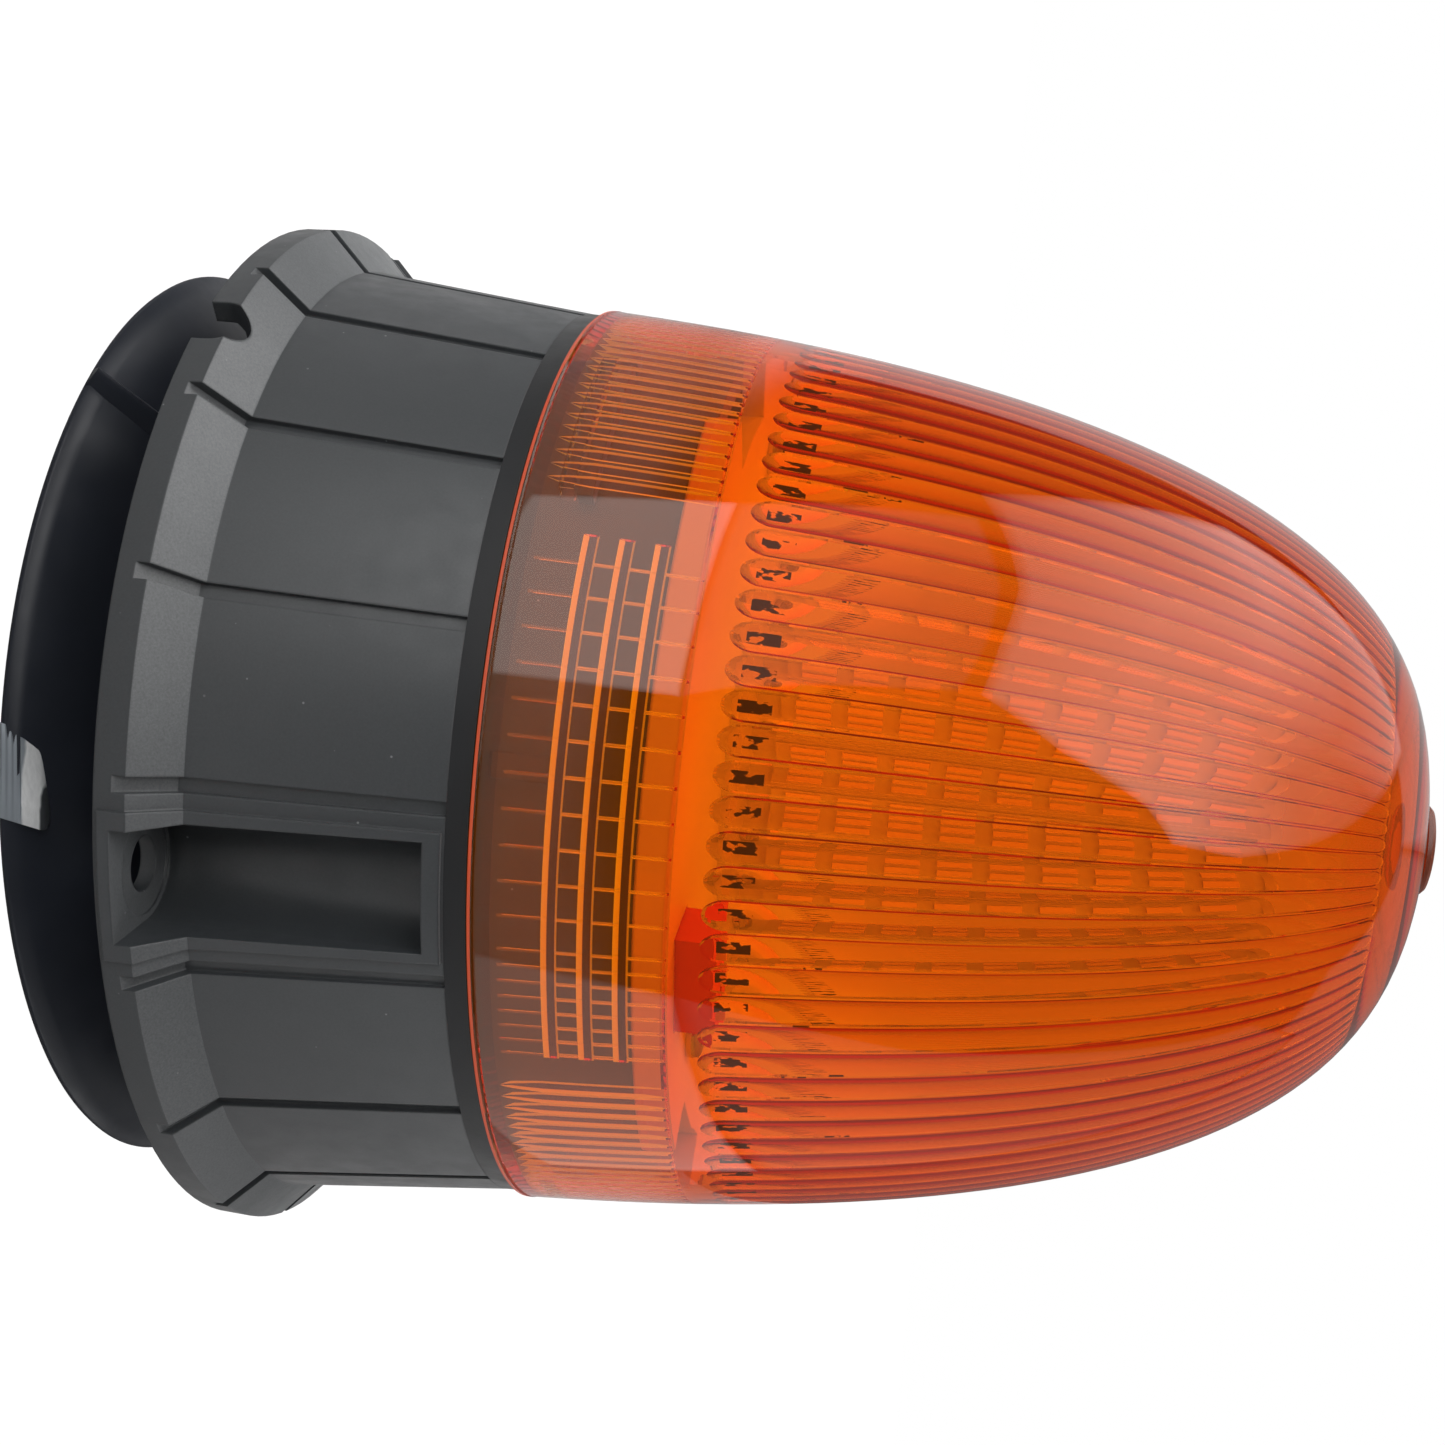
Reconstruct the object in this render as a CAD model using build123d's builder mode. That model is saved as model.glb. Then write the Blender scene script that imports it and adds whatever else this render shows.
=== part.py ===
from build123d import *

import os
from math import cos, radians, sin

# Amber LED warning beacon: flared three-bolt base, screw-locked lens, LED column and suction-magnet foot.
# Millimetres. +Z up along the beacon's axis, origin on the ground under its centre.
# A clock angle is measured round the axis from the -Y side, anticlockwise seen from above.

# ---------------------------------------------------------------- driving dimensions
FLANGE_R = 74.5
BOLT_CIRCLE_R = 65.0
BOLT_HOLE_R = 3.65
BOLTS = 3
FOOT_H = 16.2
PANELS = 18
BODY_TOP_Z = 57.3
LENS_TIP_Z = 185.8

# base housing
LIP_TOP_Z = FOOT_H + 4.1
CONE_TOP_Z = FOOT_H + 9.1
BODY_BASE_R = 69.3
BODY_TOP_R = 66.1
LIP_INNER_R = 71.6
FLOOR_Z = 20.0
FLOOR_TOP_Z = 22.5
SHOULDER_T = 3.0
GROOVE_ARC = 1.6
CONE_GROOVE_D = 1.0
BODY_GROOVE_D = 0.8
POCKET_R = 7.4
POCKET_WALL = 2.2
POCKET_FLOOR_Z = FOOT_H + 2.3
POCKET_TOP_Z = 54.7
FRAME_ARC = 15.0
FRAME_PROUD = 0.7
SPOT_FACE_R = 6.6
SPOT_FACE_D = 0.25
NOTCH_CLOCK = -60.0
NOTCH_R = 4.0
NOTCH_TOP_Z = FOOT_H + 6.0
NOTCH_DEPTH_R = 68.5

# bayonet between the collar and the lens
COLLAR_R = 61.5
COLLAR_BORE_R = 58.5
COLLAR_TOP_Z = 82.0
LOCK_ARC = 24.0
LOCK_CLOCK = 60.0
LOCK_TURN = 30.0
LOCK_R = 63.3
COLLAR_LOCK_Z = 67.2
LENS_LOCK_Z = 64.9
LOCK_T = 2.0
STOP_ARC = 3.0
STOP_GAP = 1.2

# lens
SEAL_INNER_R = 62.2
SEAL_TOP_Z = 60.2
LENS_Z = 60.5
LENS_R = 67.7
LENS_ROOT_Z = 16.7
LENS_WALL = 2.2
LENS_RIM_R = 67.6
LENS_RIM_H = 1.0
LENS_LUG_R = 61.9
TIP_R = 6.8
TIP_H = 2.0
OUTLINE_P = 2.47
OUTLINE_Q = 2.77

# suction foot and magnet
CUP_R = 66.6
CUP_EDGE_H = 0.8
CUP_T = 2.5
HUB_R = 48.0
HUB_Z = 16.0
RIB_CLOCK = -56.8
RIB_W = 5.2
RIB_H = 1.3
TAB_CLOCK = -8.0
TAB_W = 12.4
TAB_T = 0.8
TAB_LENGTH = 5.6
TAB_BEAD_R = 0.35
POT_R = 40.0
POT_Z = 1.0
POT_T = 3.0
POLE_R = 12.0
MAGNET_R = 36.6
MAGNET_BORE_R = 12.4
MAGNET_H = 9.0
BOLT_R = 4.0
BOLT_HEAD_R = 7.5
NUT_AF = 13.0
NUT_H = 6.5

# cable entry and vent
GROMMET_CLOCK = -60.0
GROMMET_AT_R = 55.0
GROMMET_HOLE_R = 4.5
GROMMET_BORE_R = 3.0
GROMMET_LIP_R = 6.0
GROMMET_LIP_T = 1.5
VENT_CLOCK = 60.0
VENT_HOLE_R = 3.0
VENT_HEAD_R = 4.5

# boards, pillars and deck
PILLAR_AT_R = 49.0
PILLAR_CLOCK = 30.0
PILLARS = 3
PILLAR_AF = 6.0
POST_R = 4.0
STUD_R = 1.5
STUD_HOLE_R = 1.6
STUD_L = 7.0
BOARD_Z = 32.0
BOARD_T = 1.6
BOARD_R = 53.4
DECK_T = 3.2
DECK_R = 62.0
DECK_NOTCH_CLOCK = 47.0
DECK_NOTCH_ARC = 18.0
DECK_NOTCH_R = 55.0
SCREW_HEAD_R = 2.9
SCREW_HEAD_H = 2.0

# LED column
COLUMN_AF = 36.0
COLUMN_TOP_Z = 162.0
COLUMN_FLANGE_R = 27.0
COLUMN_FLANGE_T = 2.4
COLUMN_SCREW_R = 23.5
COLUMN_BORE_R = 11.0
FACES = 8
STRIP_W = 12.6
STRIP_T = 1.0
STRIP_END_GAP = 1.5
CHIP_COLUMNS = 3
CHIP_ROWS = 9
CHIP_W = 2.2
CHIP_H = 5.0
CHIP_T = 0.7
CHIP_PITCH = 4.0
CHIP_ROW_PITCH = 7.5
CROWN_R = 18.5
CROWN_T = 1.6
CROWN_CHIPS = 8
CROWN_CHIP_AT_R = 12.0

# flash-pattern switch
SWITCH_CLOCK = 12.0
SWITCH_AT_R = 53.0
SWITCH_W = 14.0
SWITCH_D = 8.0
SWITCH_H = 8.6
SWITCH_GAP = 0.3
SLIDERS = 4
SLIDER_PITCH = 3.0
SLIDER_W = 1.0
SLIDER_D = 1.4
SLIDER_TRAVEL = 1.4
SLIDER_PROUD = 0.7
SLOT_DEPTH = 1.5
SWITCH_BOARD_W = 16.0
SWITCH_BOARD_D = 9.0

# ---------------------------------------------------------------- derived dimensions
DECK_Z = COLLAR_TOP_Z
DECK_TOP_Z = DECK_Z + DECK_T
BOARD_TOP_Z = BOARD_Z + BOARD_T
SHOULDER_Z = BODY_TOP_Z - SHOULDER_T
PANEL_PITCH = 360 / PANELS
FACE_PITCH = 360 / FACES
LENS_REACH = LENS_TIP_Z - LENS_ROOT_Z
CUP_SLOPE = CUP_R + CUP_EDGE_H
CUP_INNER_SLOPE = CUP_SLOPE - CUP_T * 2 ** 0.5
BOLT_CLOCKS = [360 / BOLTS * i for i in range(BOLTS)]
PILLAR_CLOCKS = [PILLAR_CLOCK + 360 / PILLARS * i for i in range(PILLARS)]
LOCK_CLOCKS = [LOCK_CLOCK + 360 / BOLTS * i for i in range(BOLTS)]

os.makedirs("parts", exist_ok=True)


# ---------------------------------------------------------------- helpers
def around(radius, clock, z=0.0):
    """Place on a circle about the axis; the local x runs outwards."""
    angle = radians(clock - 90)
    return Location((radius * cos(angle), radius * sin(angle), z), (0, 0, clock - 90))


def meridian(clock):
    """Plane through the axis: local x runs outwards at this clock angle, local y runs up."""
    angle = radians(clock - 90)
    return Plane(origin=(0, 0, 0), x_dir=(cos(angle), sin(angle), 0), z_dir=(sin(angle), -cos(angle), 0))


def facing(radius, clock):
    """Plane that faces outwards at this radius: local x runs round the beacon, local y runs up."""
    angle = radians(clock - 90)
    out = (cos(angle), sin(angle), 0)
    return Plane(origin=(radius * out[0], radius * out[1], 0), x_dir=(-out[1], out[0], 0), z_dir=out)


def profile(plane, points):
    """Closed straight-sided outline, as a face placed on a plane."""
    with BuildSketch(plane) as drawn:
        with BuildLine():
            Polyline(points, close=True)
        make_face()
    return drawn.sketch


def sector(points, clock, arc):
    """Sweep an outline in the meridian through an arc centred on a clock angle."""
    revolve(profile(meridian(clock - arc / 2), points), axis=Axis.Z, revolution_arc=arc)


def ring(points):
    """Revolve an outline in the XZ plane a full turn."""
    revolve(profile(Plane.XZ, points), axis=Axis.Z)


def outline(radius, reach, z_root, z_start, steps=14):
    """Points of the lens's superellipse outline from z_start up to the tip."""
    start = ((z_start - z_root) / reach) ** (OUTLINE_P / 2)
    points = []
    for i in range(steps + 1):
        s = start + (1 - start) * sin(radians(90 * i / steps))
        c = max(1 - s * s, 0) ** 0.5
        points.append((radius * c ** (2 / OUTLINE_Q), z_root + reach * s ** (2 / OUTLINE_P)))
    return points


def save(part, name):
    part.label = name
    export_step(part, "parts/" + name + ".step")


# ---------------------------------------------------------------- base housing
with BuildPart() as hollow:
    ring([
        (0, FLOOR_TOP_Z),
        (BODY_TOP_R - 0.4, FLOOR_TOP_Z),
        (BODY_TOP_R - SHOULDER_T, SHOULDER_Z),
        (COLLAR_BORE_R, SHOULDER_Z + SHOULDER_T),
        (COLLAR_BORE_R, COLLAR_TOP_Z + 1),
        (0, COLLAR_TOP_Z + 1),
    ])
    ring([
        (0, FOOT_H - 1),
        (LIP_INNER_R, FOOT_H - 1),
        (LIP_INNER_R, FLOOR_Z - 1),
        (LIP_INNER_R - 1, FLOOR_Z),
        (0, FLOOR_Z),
    ])
    for clock in BOLT_CLOCKS:
        with BuildSketch(Plane.XY.offset(FOOT_H - 1)):
            with Locations(around(BOLT_CIRCLE_R, clock)):
                Circle(POCKET_R + POCKET_WALL)
                Rectangle(FLANGE_R, 2 * (POCKET_R + POCKET_WALL), align=(Align.MIN, Align.CENTER))
        extrude(amount=BODY_TOP_Z - FOOT_H + 1, mode=Mode.SUBTRACT)

with BuildPart() as panel_grooves:
    for i in range(PANELS):
        sector([
            (FLANGE_R + 1.1, FOOT_H + 1.4),
            (BODY_BASE_R - BODY_GROOVE_D, CONE_TOP_Z - CONE_GROOVE_D),
            (BODY_TOP_R - BODY_GROOVE_D, BODY_TOP_Z + 0.1),
            (BODY_TOP_R + 2, BODY_TOP_Z + 0.1),
            (BODY_BASE_R + 2, CONE_TOP_Z),
            (FLANGE_R + 2, LIP_TOP_Z),
        ], PANEL_PITCH * (i + 0.5), GROOVE_ARC)

with BuildPart() as base_housing:
    ring([
        (0, FOOT_H),
        (FLANGE_R, FOOT_H),
        (FLANGE_R + 0.2, LIP_TOP_Z),
        (BODY_BASE_R, CONE_TOP_Z),
        (BODY_TOP_R, BODY_TOP_Z),
        (COLLAR_R, BODY_TOP_Z),
        (COLLAR_R, COLLAR_TOP_Z),
        (0, COLLAR_TOP_Z),
    ])
    add(hollow.part, mode=Mode.SUBTRACT)
    add(panel_grooves.part, mode=Mode.SUBTRACT)
    for clock in BOLT_CLOCKS:
        sector([
            (FLANGE_R - 2, FOOT_H + FRAME_PROUD),
            (FLANGE_R + FRAME_PROUD, FOOT_H + FRAME_PROUD),
            (FLANGE_R + FRAME_PROUD, LIP_TOP_Z + FRAME_PROUD / 2),
            (BODY_BASE_R + FRAME_PROUD, CONE_TOP_Z + FRAME_PROUD / 2),
            (BODY_TOP_R + FRAME_PROUD, BODY_TOP_Z - FRAME_PROUD / 2),
            (BODY_TOP_R - 1, BODY_TOP_Z - FRAME_PROUD / 2),
            (BODY_BASE_R - 1, CONE_TOP_Z),
            (FLANGE_R - 2, LIP_TOP_Z - 1),
        ], clock, FRAME_ARC)
    for clock in BOLT_CLOCKS:
        with BuildSketch(Plane.XY.offset(POCKET_FLOOR_Z)):
            with Locations(around(BOLT_CIRCLE_R, clock)):
                Circle(POCKET_R)
                Rectangle(FLANGE_R, 2 * POCKET_R, align=(Align.MIN, Align.CENTER))
        extrude(amount=POCKET_TOP_Z - POCKET_FLOOR_Z, mode=Mode.SUBTRACT)
        with BuildSketch(Plane.XY.offset(POCKET_FLOOR_Z)):
            with Locations(around(BOLT_CIRCLE_R, clock)):
                Circle(SPOT_FACE_R)
        extrude(amount=-SPOT_FACE_D, mode=Mode.SUBTRACT)
        with BuildSketch(Plane.XY.offset(FOOT_H)):
            with Locations(around(BOLT_CIRCLE_R, clock)):
                Circle(BOLT_HOLE_R)
        extrude(amount=POCKET_FLOOR_Z - FOOT_H, mode=Mode.SUBTRACT)
    for clock in LOCK_CLOCKS:
        sector([
            (COLLAR_R - 1, COLLAR_LOCK_Z),
            (LOCK_R, COLLAR_LOCK_Z),
            (LOCK_R, COLLAR_LOCK_Z + LOCK_T),
            (COLLAR_R - 1, COLLAR_LOCK_Z + LOCK_T),
        ], clock, LOCK_ARC)
        for stop in (clock - LOCK_ARC / 2 - STOP_GAP - STOP_ARC / 2,
                     clock + LOCK_TURN + LOCK_ARC / 2 + STOP_GAP + STOP_ARC / 2):
            sector([
                (COLLAR_R - 1, SEAL_TOP_Z + 2),
                (LOCK_R, SEAL_TOP_Z + 2),
                (LOCK_R, COLLAR_LOCK_Z + LOCK_T),
                (COLLAR_R - 1, COLLAR_LOCK_Z + LOCK_T),
            ], stop, STOP_ARC)
    with BuildSketch(Plane.XY.offset(FLOOR_TOP_Z)):
        with Locations([around(PILLAR_AT_R, clock) for clock in PILLAR_CLOCKS]):
            Circle(POST_R)
    extrude(amount=BOARD_Z - FLOOR_TOP_Z)
    with BuildSketch(Plane.XY.offset(BOARD_Z)):
        with Locations([around(PILLAR_AT_R, clock) for clock in PILLAR_CLOCKS]):
            Circle(STUD_HOLE_R)
    extrude(amount=-STUD_L - 0.5, mode=Mode.SUBTRACT)
    with BuildSketch(Plane.XY.offset(FLOOR_Z)):
        Circle(BOLT_R + 0.2)
        with Locations(around(GROMMET_AT_R, GROMMET_CLOCK)):
            Circle(GROMMET_HOLE_R)
        with Locations(around(GROMMET_AT_R, VENT_CLOCK)):
            Circle(VENT_HOLE_R)
    extrude(amount=FLOOR_TOP_Z - FLOOR_Z, mode=Mode.SUBTRACT)
    with BuildSketch(facing(NOTCH_DEPTH_R, NOTCH_CLOCK)):
        with Locations((0, NOTCH_TOP_Z - NOTCH_R)):
            Circle(NOTCH_R)
        with Locations((0, FOOT_H - 1)):
            Rectangle(2 * NOTCH_R, NOTCH_TOP_Z - NOTCH_R - FOOT_H + 1, align=(Align.CENTER, Align.MIN))
    extrude(amount=FLANGE_R, mode=Mode.SUBTRACT)
save(base_housing.part, "base_housing")

# ---------------------------------------------------------------- seal and lens
with BuildPart() as lens_seal:
    with BuildSketch(Plane.XY.offset(BODY_TOP_Z)):
        Circle(BODY_TOP_R)
        Circle(SEAL_INNER_R, mode=Mode.SUBTRACT)
    extrude(amount=SEAL_TOP_Z - BODY_TOP_Z)
save(lens_seal.part, "lens_seal")

with BuildPart() as lens_dome:
    outer = outline(LENS_R, LENS_REACH, LENS_ROOT_Z, LENS_Z)
    inner = outline(LENS_R - LENS_WALL, LENS_REACH - LENS_WALL, LENS_ROOT_Z, LENS_Z)
    with BuildSketch(Plane.XZ):
        with BuildLine():
            Spline(outer, tangents=[(0, 1), (-1, 0)])
            Line(outer[-1], inner[-1])
            Spline(inner[::-1], tangents=[(1, 0), (0, -1)])
            Line(inner[0], outer[0])
        make_face()
    revolve(axis=Axis.Z)
    ring([
        (LENS_R - LENS_WALL, LENS_Z),
        (LENS_RIM_R, LENS_Z),
        (LENS_RIM_R, LENS_Z + LENS_RIM_H),
        (LENS_R - LENS_WALL, LENS_Z + LENS_RIM_H),
    ])
    for clock in LOCK_CLOCKS:
        sector([
            (LENS_LUG_R, LENS_LOCK_Z),
            (LENS_R - LENS_WALL, LENS_LOCK_Z),
            (LENS_R - LENS_WALL, LENS_LOCK_Z + LOCK_T),
            (LENS_LUG_R, LENS_LOCK_Z + LOCK_T),
        ], clock, LOCK_ARC)
    with BuildSketch(Plane.XY.offset(LENS_TIP_Z - LENS_WALL / 2)):
        Circle(TIP_R)
    extrude(amount=LENS_WALL / 2 + TIP_H)
save(lens_dome.part, "lens_dome")

# ---------------------------------------------------------------- suction foot
with BuildPart() as suction_foot:
    ring([
        (CUP_INNER_SLOPE, 0),
        (CUP_R, 0),
        (CUP_R, CUP_EDGE_H),
        (CUP_SLOPE - HUB_Z, HUB_Z),
        (HUB_R, HUB_Z),
        (HUB_R, FLOOR_Z),
        (BOLT_R + 0.2, FLOOR_Z),
        (BOLT_R + 0.2, HUB_Z),
        (CUP_INNER_SLOPE - HUB_Z, HUB_Z),
    ])
    with BuildSketch(meridian(RIB_CLOCK)):
        with BuildLine():
            Polyline([
                (CUP_R - 1, CUP_EDGE_H),
                (CUP_R + RIB_H, CUP_EDGE_H),
                (CUP_SLOPE - HUB_Z + RIB_H, HUB_Z),
                (CUP_SLOPE - HUB_Z - 1, HUB_Z),
            ], close=True)
        make_face()
    extrude(amount=RIB_W / 2, both=True)
save(suction_foot.part, "suction_foot")

with BuildPart() as release_tab:
    tab_rise = TAB_T * 2 ** 0.5
    with BuildSketch(meridian(TAB_CLOCK)):
        with BuildLine():
            Polyline([
                (CUP_R, CUP_EDGE_H),
                (CUP_R - TAB_LENGTH, CUP_EDGE_H + TAB_LENGTH),
                (CUP_R - TAB_LENGTH + tab_rise / 2, CUP_EDGE_H + TAB_LENGTH + tab_rise / 2),
                (CUP_R + TAB_T, CUP_EDGE_H + tab_rise - TAB_T),
                (CUP_R + TAB_T, CUP_EDGE_H / 4),
                (CUP_R, CUP_EDGE_H / 4),
            ], close=True)
        make_face()
        with Locations([
            (CUP_R - step + tab_rise / 2, CUP_EDGE_H + step + tab_rise / 2) for step in (0.6, 1.4, 2.2)
        ]):
            Circle(TAB_BEAD_R)
    extrude(amount=TAB_W / 2, both=True)
save(release_tab.part, "release_tab")

with BuildPart() as magnet_pot:
    ring([
        (BOLT_R + 0.2, POT_Z),
        (POLE_R, POT_Z),
        (POLE_R, HUB_Z - POT_T),
        (POT_R - POT_T, HUB_Z - POT_T),
        (POT_R - POT_T, POT_Z),
        (POT_R, POT_Z),
        (POT_R, HUB_Z),
        (BOLT_R + 0.2, HUB_Z),
    ])
    with BuildSketch(Plane.XY.offset(POT_Z)):
        Circle(BOLT_HEAD_R + 0.3)
    extrude(amount=BOLT_HEAD_R - BOLT_R, taper=45, mode=Mode.SUBTRACT)
save(magnet_pot.part, "magnet_pot")

with BuildPart() as magnet_ring:
    with BuildSketch(Plane.XY.offset(HUB_Z - POT_T - MAGNET_H)):
        Circle(MAGNET_R)
        Circle(MAGNET_BORE_R, mode=Mode.SUBTRACT)
    extrude(amount=MAGNET_H)
save(magnet_ring.part, "magnet_ring")

with BuildPart() as magnet_bolt:
    ring([
        (0, POT_Z + 0.2),
        (BOLT_HEAD_R - 0.1, POT_Z + 0.2),
        (BOLT_R, POT_Z + 0.1 + BOLT_HEAD_R - BOLT_R),
        (BOLT_R, FLOOR_TOP_Z + NUT_H + 1),
        (0, FLOOR_TOP_Z + NUT_H + 1),
    ])
    with BuildSketch(Plane.XY.offset(POT_Z + 0.2)):
        RegularPolygon(radius=2.9, side_count=6)
    extrude(amount=2.5, mode=Mode.SUBTRACT)
save(magnet_bolt.part, "magnet_bolt")

with BuildPart() as magnet_nut:
    with BuildSketch(Plane.XY.offset(FLOOR_TOP_Z)):
        RegularPolygon(radius=NUT_AF / 2, side_count=6, major_radius=False)
        Circle(BOLT_R, mode=Mode.SUBTRACT)
    extrude(amount=NUT_H)
save(magnet_nut.part, "magnet_nut")

# ---------------------------------------------------------------- cable grommet and breather
with BuildPart() as cable_grommet:
    with Locations(around(GROMMET_AT_R, GROMMET_CLOCK, FLOOR_Z)):
        Cylinder(GROMMET_HOLE_R, FLOOR_TOP_Z - FLOOR_Z, align=(Align.CENTER, Align.CENTER, Align.MIN))
    with Locations(around(GROMMET_AT_R, GROMMET_CLOCK, FLOOR_Z)):
        Cylinder(GROMMET_LIP_R, GROMMET_LIP_T, align=(Align.CENTER, Align.CENTER, Align.MAX))
    with Locations(around(GROMMET_AT_R, GROMMET_CLOCK, FLOOR_TOP_Z)):
        Cylinder(GROMMET_LIP_R, GROMMET_LIP_T, align=(Align.CENTER, Align.CENTER, Align.MIN))
    with Locations(around(GROMMET_AT_R, GROMMET_CLOCK, FLOOR_Z)):
        Cylinder(GROMMET_BORE_R, 4 * GROMMET_LIP_T + FLOOR_TOP_Z, mode=Mode.SUBTRACT)
save(cable_grommet.part, "cable_grommet")

with BuildPart() as breather_plug:
    with Locations(around(GROMMET_AT_R, VENT_CLOCK, FLOOR_Z)):
        Cylinder(VENT_HOLE_R, FLOOR_TOP_Z - FLOOR_Z, align=(Align.CENTER, Align.CENTER, Align.MIN))
    with Locations(around(GROMMET_AT_R, VENT_CLOCK, FLOOR_Z)):
        Cylinder(VENT_HEAD_R, GROMMET_LIP_T, align=(Align.CENTER, Align.CENTER, Align.MAX))
save(breather_plug.part, "breather_plug")

# ---------------------------------------------------------------- driver board in the base
with BuildPart() as driver_board:
    with BuildSketch(Plane.XY.offset(BOARD_Z)):
        Circle(BOARD_R)
        with Locations([around(PILLAR_AT_R, clock) for clock in PILLAR_CLOCKS]):
            Circle(STUD_HOLE_R, mode=Mode.SUBTRACT)
        with Locations([around(BOARD_R, clock) for clock in (GROMMET_CLOCK, GROMMET_CLOCK + 180)]):
            Circle(GROMMET_LIP_R + 1, mode=Mode.SUBTRACT)
    extrude(amount=BOARD_T)
save(driver_board.part, "driver_board")

CAP_R = 6.3
CAP_H = 16.0
with BuildPart() as driver_capacitors:
    with Locations((12, 20, BOARD_TOP_Z), (-4, 24, BOARD_TOP_Z)):
        Cylinder(CAP_R, CAP_H, align=(Align.CENTER, Align.CENTER, Align.MIN))
    fillet(driver_capacitors.faces().sort_by(Axis.Z)[-2:].edges(), 0.6)
save(driver_capacitors.part, "driver_capacitors")

with BuildPart() as driver_inductor:
    with Locations((22, -6, BOARD_TOP_Z)):
        Box(14, 14, 7, align=(Align.CENTER, Align.CENTER, Align.MIN))
    fillet(driver_inductor.edges().filter_by(Axis.Z), 3)
save(driver_inductor.part, "driver_inductor")

with BuildPart() as driver_chips:
    with Locations((-22, 8, BOARD_TOP_Z), (-24, -8, BOARD_TOP_Z), (2, -8, BOARD_TOP_Z)):
        Box(8, 6, 1.8, align=(Align.CENTER, Align.CENTER, Align.MIN))
save(driver_chips.part, "driver_chips")

TERMINAL_WAYS = 3
TERMINAL_PITCH = 5.08
TERMINAL_D = 9.0
TERMINAL_H = 10.0
TERMINAL_Y = -34.0
TERMINAL_XS = [TERMINAL_PITCH * (i - (TERMINAL_WAYS - 1) / 2) for i in range(TERMINAL_WAYS)]
with BuildPart() as terminal_block:
    with Locations((0, TERMINAL_Y, BOARD_TOP_Z)):
        Box(TERMINAL_WAYS * TERMINAL_PITCH, TERMINAL_D, TERMINAL_H, align=(Align.CENTER, Align.CENTER, Align.MIN))
    with Locations([(x, TERMINAL_Y + 1, BOARD_TOP_Z + TERMINAL_H) for x in TERMINAL_XS]):
        Cylinder(1.9, 8, mode=Mode.SUBTRACT)
    with Locations([(x, TERMINAL_Y - TERMINAL_D / 2, BOARD_TOP_Z + 3) for x in TERMINAL_XS]):
        Box(3.4, 5, 3, mode=Mode.SUBTRACT)
save(terminal_block.part, "terminal_block")

with BuildPart() as terminal_screws:
    with Locations([(x, TERMINAL_Y + 1, BOARD_TOP_Z + TERMINAL_H - 4) for x in TERMINAL_XS]):
        Cylinder(1.8, 2.4, align=(Align.CENTER, Align.CENTER, Align.MIN))
    with Locations([(x, TERMINAL_Y + 1, BOARD_TOP_Z + TERMINAL_H - 1.6) for x in TERMINAL_XS]):
        Box(3.6, 0.6, 1.4, mode=Mode.SUBTRACT)
save(terminal_screws.part, "terminal_screws")

# ---------------------------------------------------------------- pillars, deck and deck screws
with BuildPart() as deck_pillars:
    with BuildSketch(Plane.XY.offset(BOARD_TOP_Z)):
        with Locations([around(PILLAR_AT_R, clock) for clock in PILLAR_CLOCKS]):
            RegularPolygon(radius=PILLAR_AF / 2, side_count=6, major_radius=False)
    extrude(amount=DECK_Z - BOARD_TOP_Z)
    with BuildSketch(Plane.XY.offset(BOARD_TOP_Z)):
        with Locations([around(PILLAR_AT_R, clock) for clock in PILLAR_CLOCKS]):
            Circle(STUD_R)
    extrude(amount=-BOARD_T - STUD_L + 0.5)
    with BuildSketch(Plane.XY.offset(DECK_Z)):
        with Locations([around(PILLAR_AT_R, clock) for clock in PILLAR_CLOCKS]):
            Circle(STUD_R + 0.02)
    extrude(amount=-STUD_L, mode=Mode.SUBTRACT)
save(deck_pillars.part, "deck_pillars")

with BuildPart() as reflector_deck:
    with BuildSketch(Plane.XY.offset(DECK_Z)):
        Circle(DECK_R)
        Circle(COLUMN_BORE_R, mode=Mode.SUBTRACT)
        with Locations([around(PILLAR_AT_R, clock) for clock in PILLAR_CLOCKS]):
            Circle(STUD_HOLE_R, mode=Mode.SUBTRACT)
        with Locations([around(COLUMN_SCREW_R, clock) for clock in PILLAR_CLOCKS]):
            Circle(STUD_HOLE_R, mode=Mode.SUBTRACT)
        with Locations(around(SWITCH_AT_R, SWITCH_CLOCK)):
            Rectangle(SWITCH_D + 2 * SWITCH_GAP, SWITCH_W + 2 * SWITCH_GAP, mode=Mode.SUBTRACT)
    extrude(amount=DECK_T)
    for i in range(BOLTS):
        with BuildSketch(meridian(DECK_NOTCH_CLOCK + 360 / BOLTS * i - DECK_NOTCH_ARC / 2)):
            with Locations((DECK_NOTCH_R, DECK_Z - 1)):
                Rectangle(DECK_R, DECK_T + 2, align=(Align.MIN, Align.MIN))
        revolve(axis=Axis.Z, revolution_arc=DECK_NOTCH_ARC, mode=Mode.SUBTRACT)
save(reflector_deck.part, "reflector_deck")

with BuildPart() as deck_screws:
    with Locations([around(PILLAR_AT_R, clock, DECK_TOP_Z) for clock in PILLAR_CLOCKS]):
        Cylinder(SCREW_HEAD_R, SCREW_HEAD_H, align=(Align.CENTER, Align.CENTER, Align.MIN))
    fillet(deck_screws.edges().group_by(Axis.Z)[-1], 1.2)
    with Locations([around(PILLAR_AT_R, clock, DECK_TOP_Z) for clock in PILLAR_CLOCKS]):
        Cylinder(STUD_R, DECK_T + STUD_L - 1, align=(Align.CENTER, Align.CENTER, Align.MAX))
    with Locations([around(PILLAR_AT_R, clock, DECK_TOP_Z + SCREW_HEAD_H) for clock in PILLAR_CLOCKS]):
        Box(3.2, 0.7, 1.4, mode=Mode.SUBTRACT)
        Box(0.7, 3.2, 1.4, mode=Mode.SUBTRACT)
save(deck_screws.part, "deck_screws")

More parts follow.
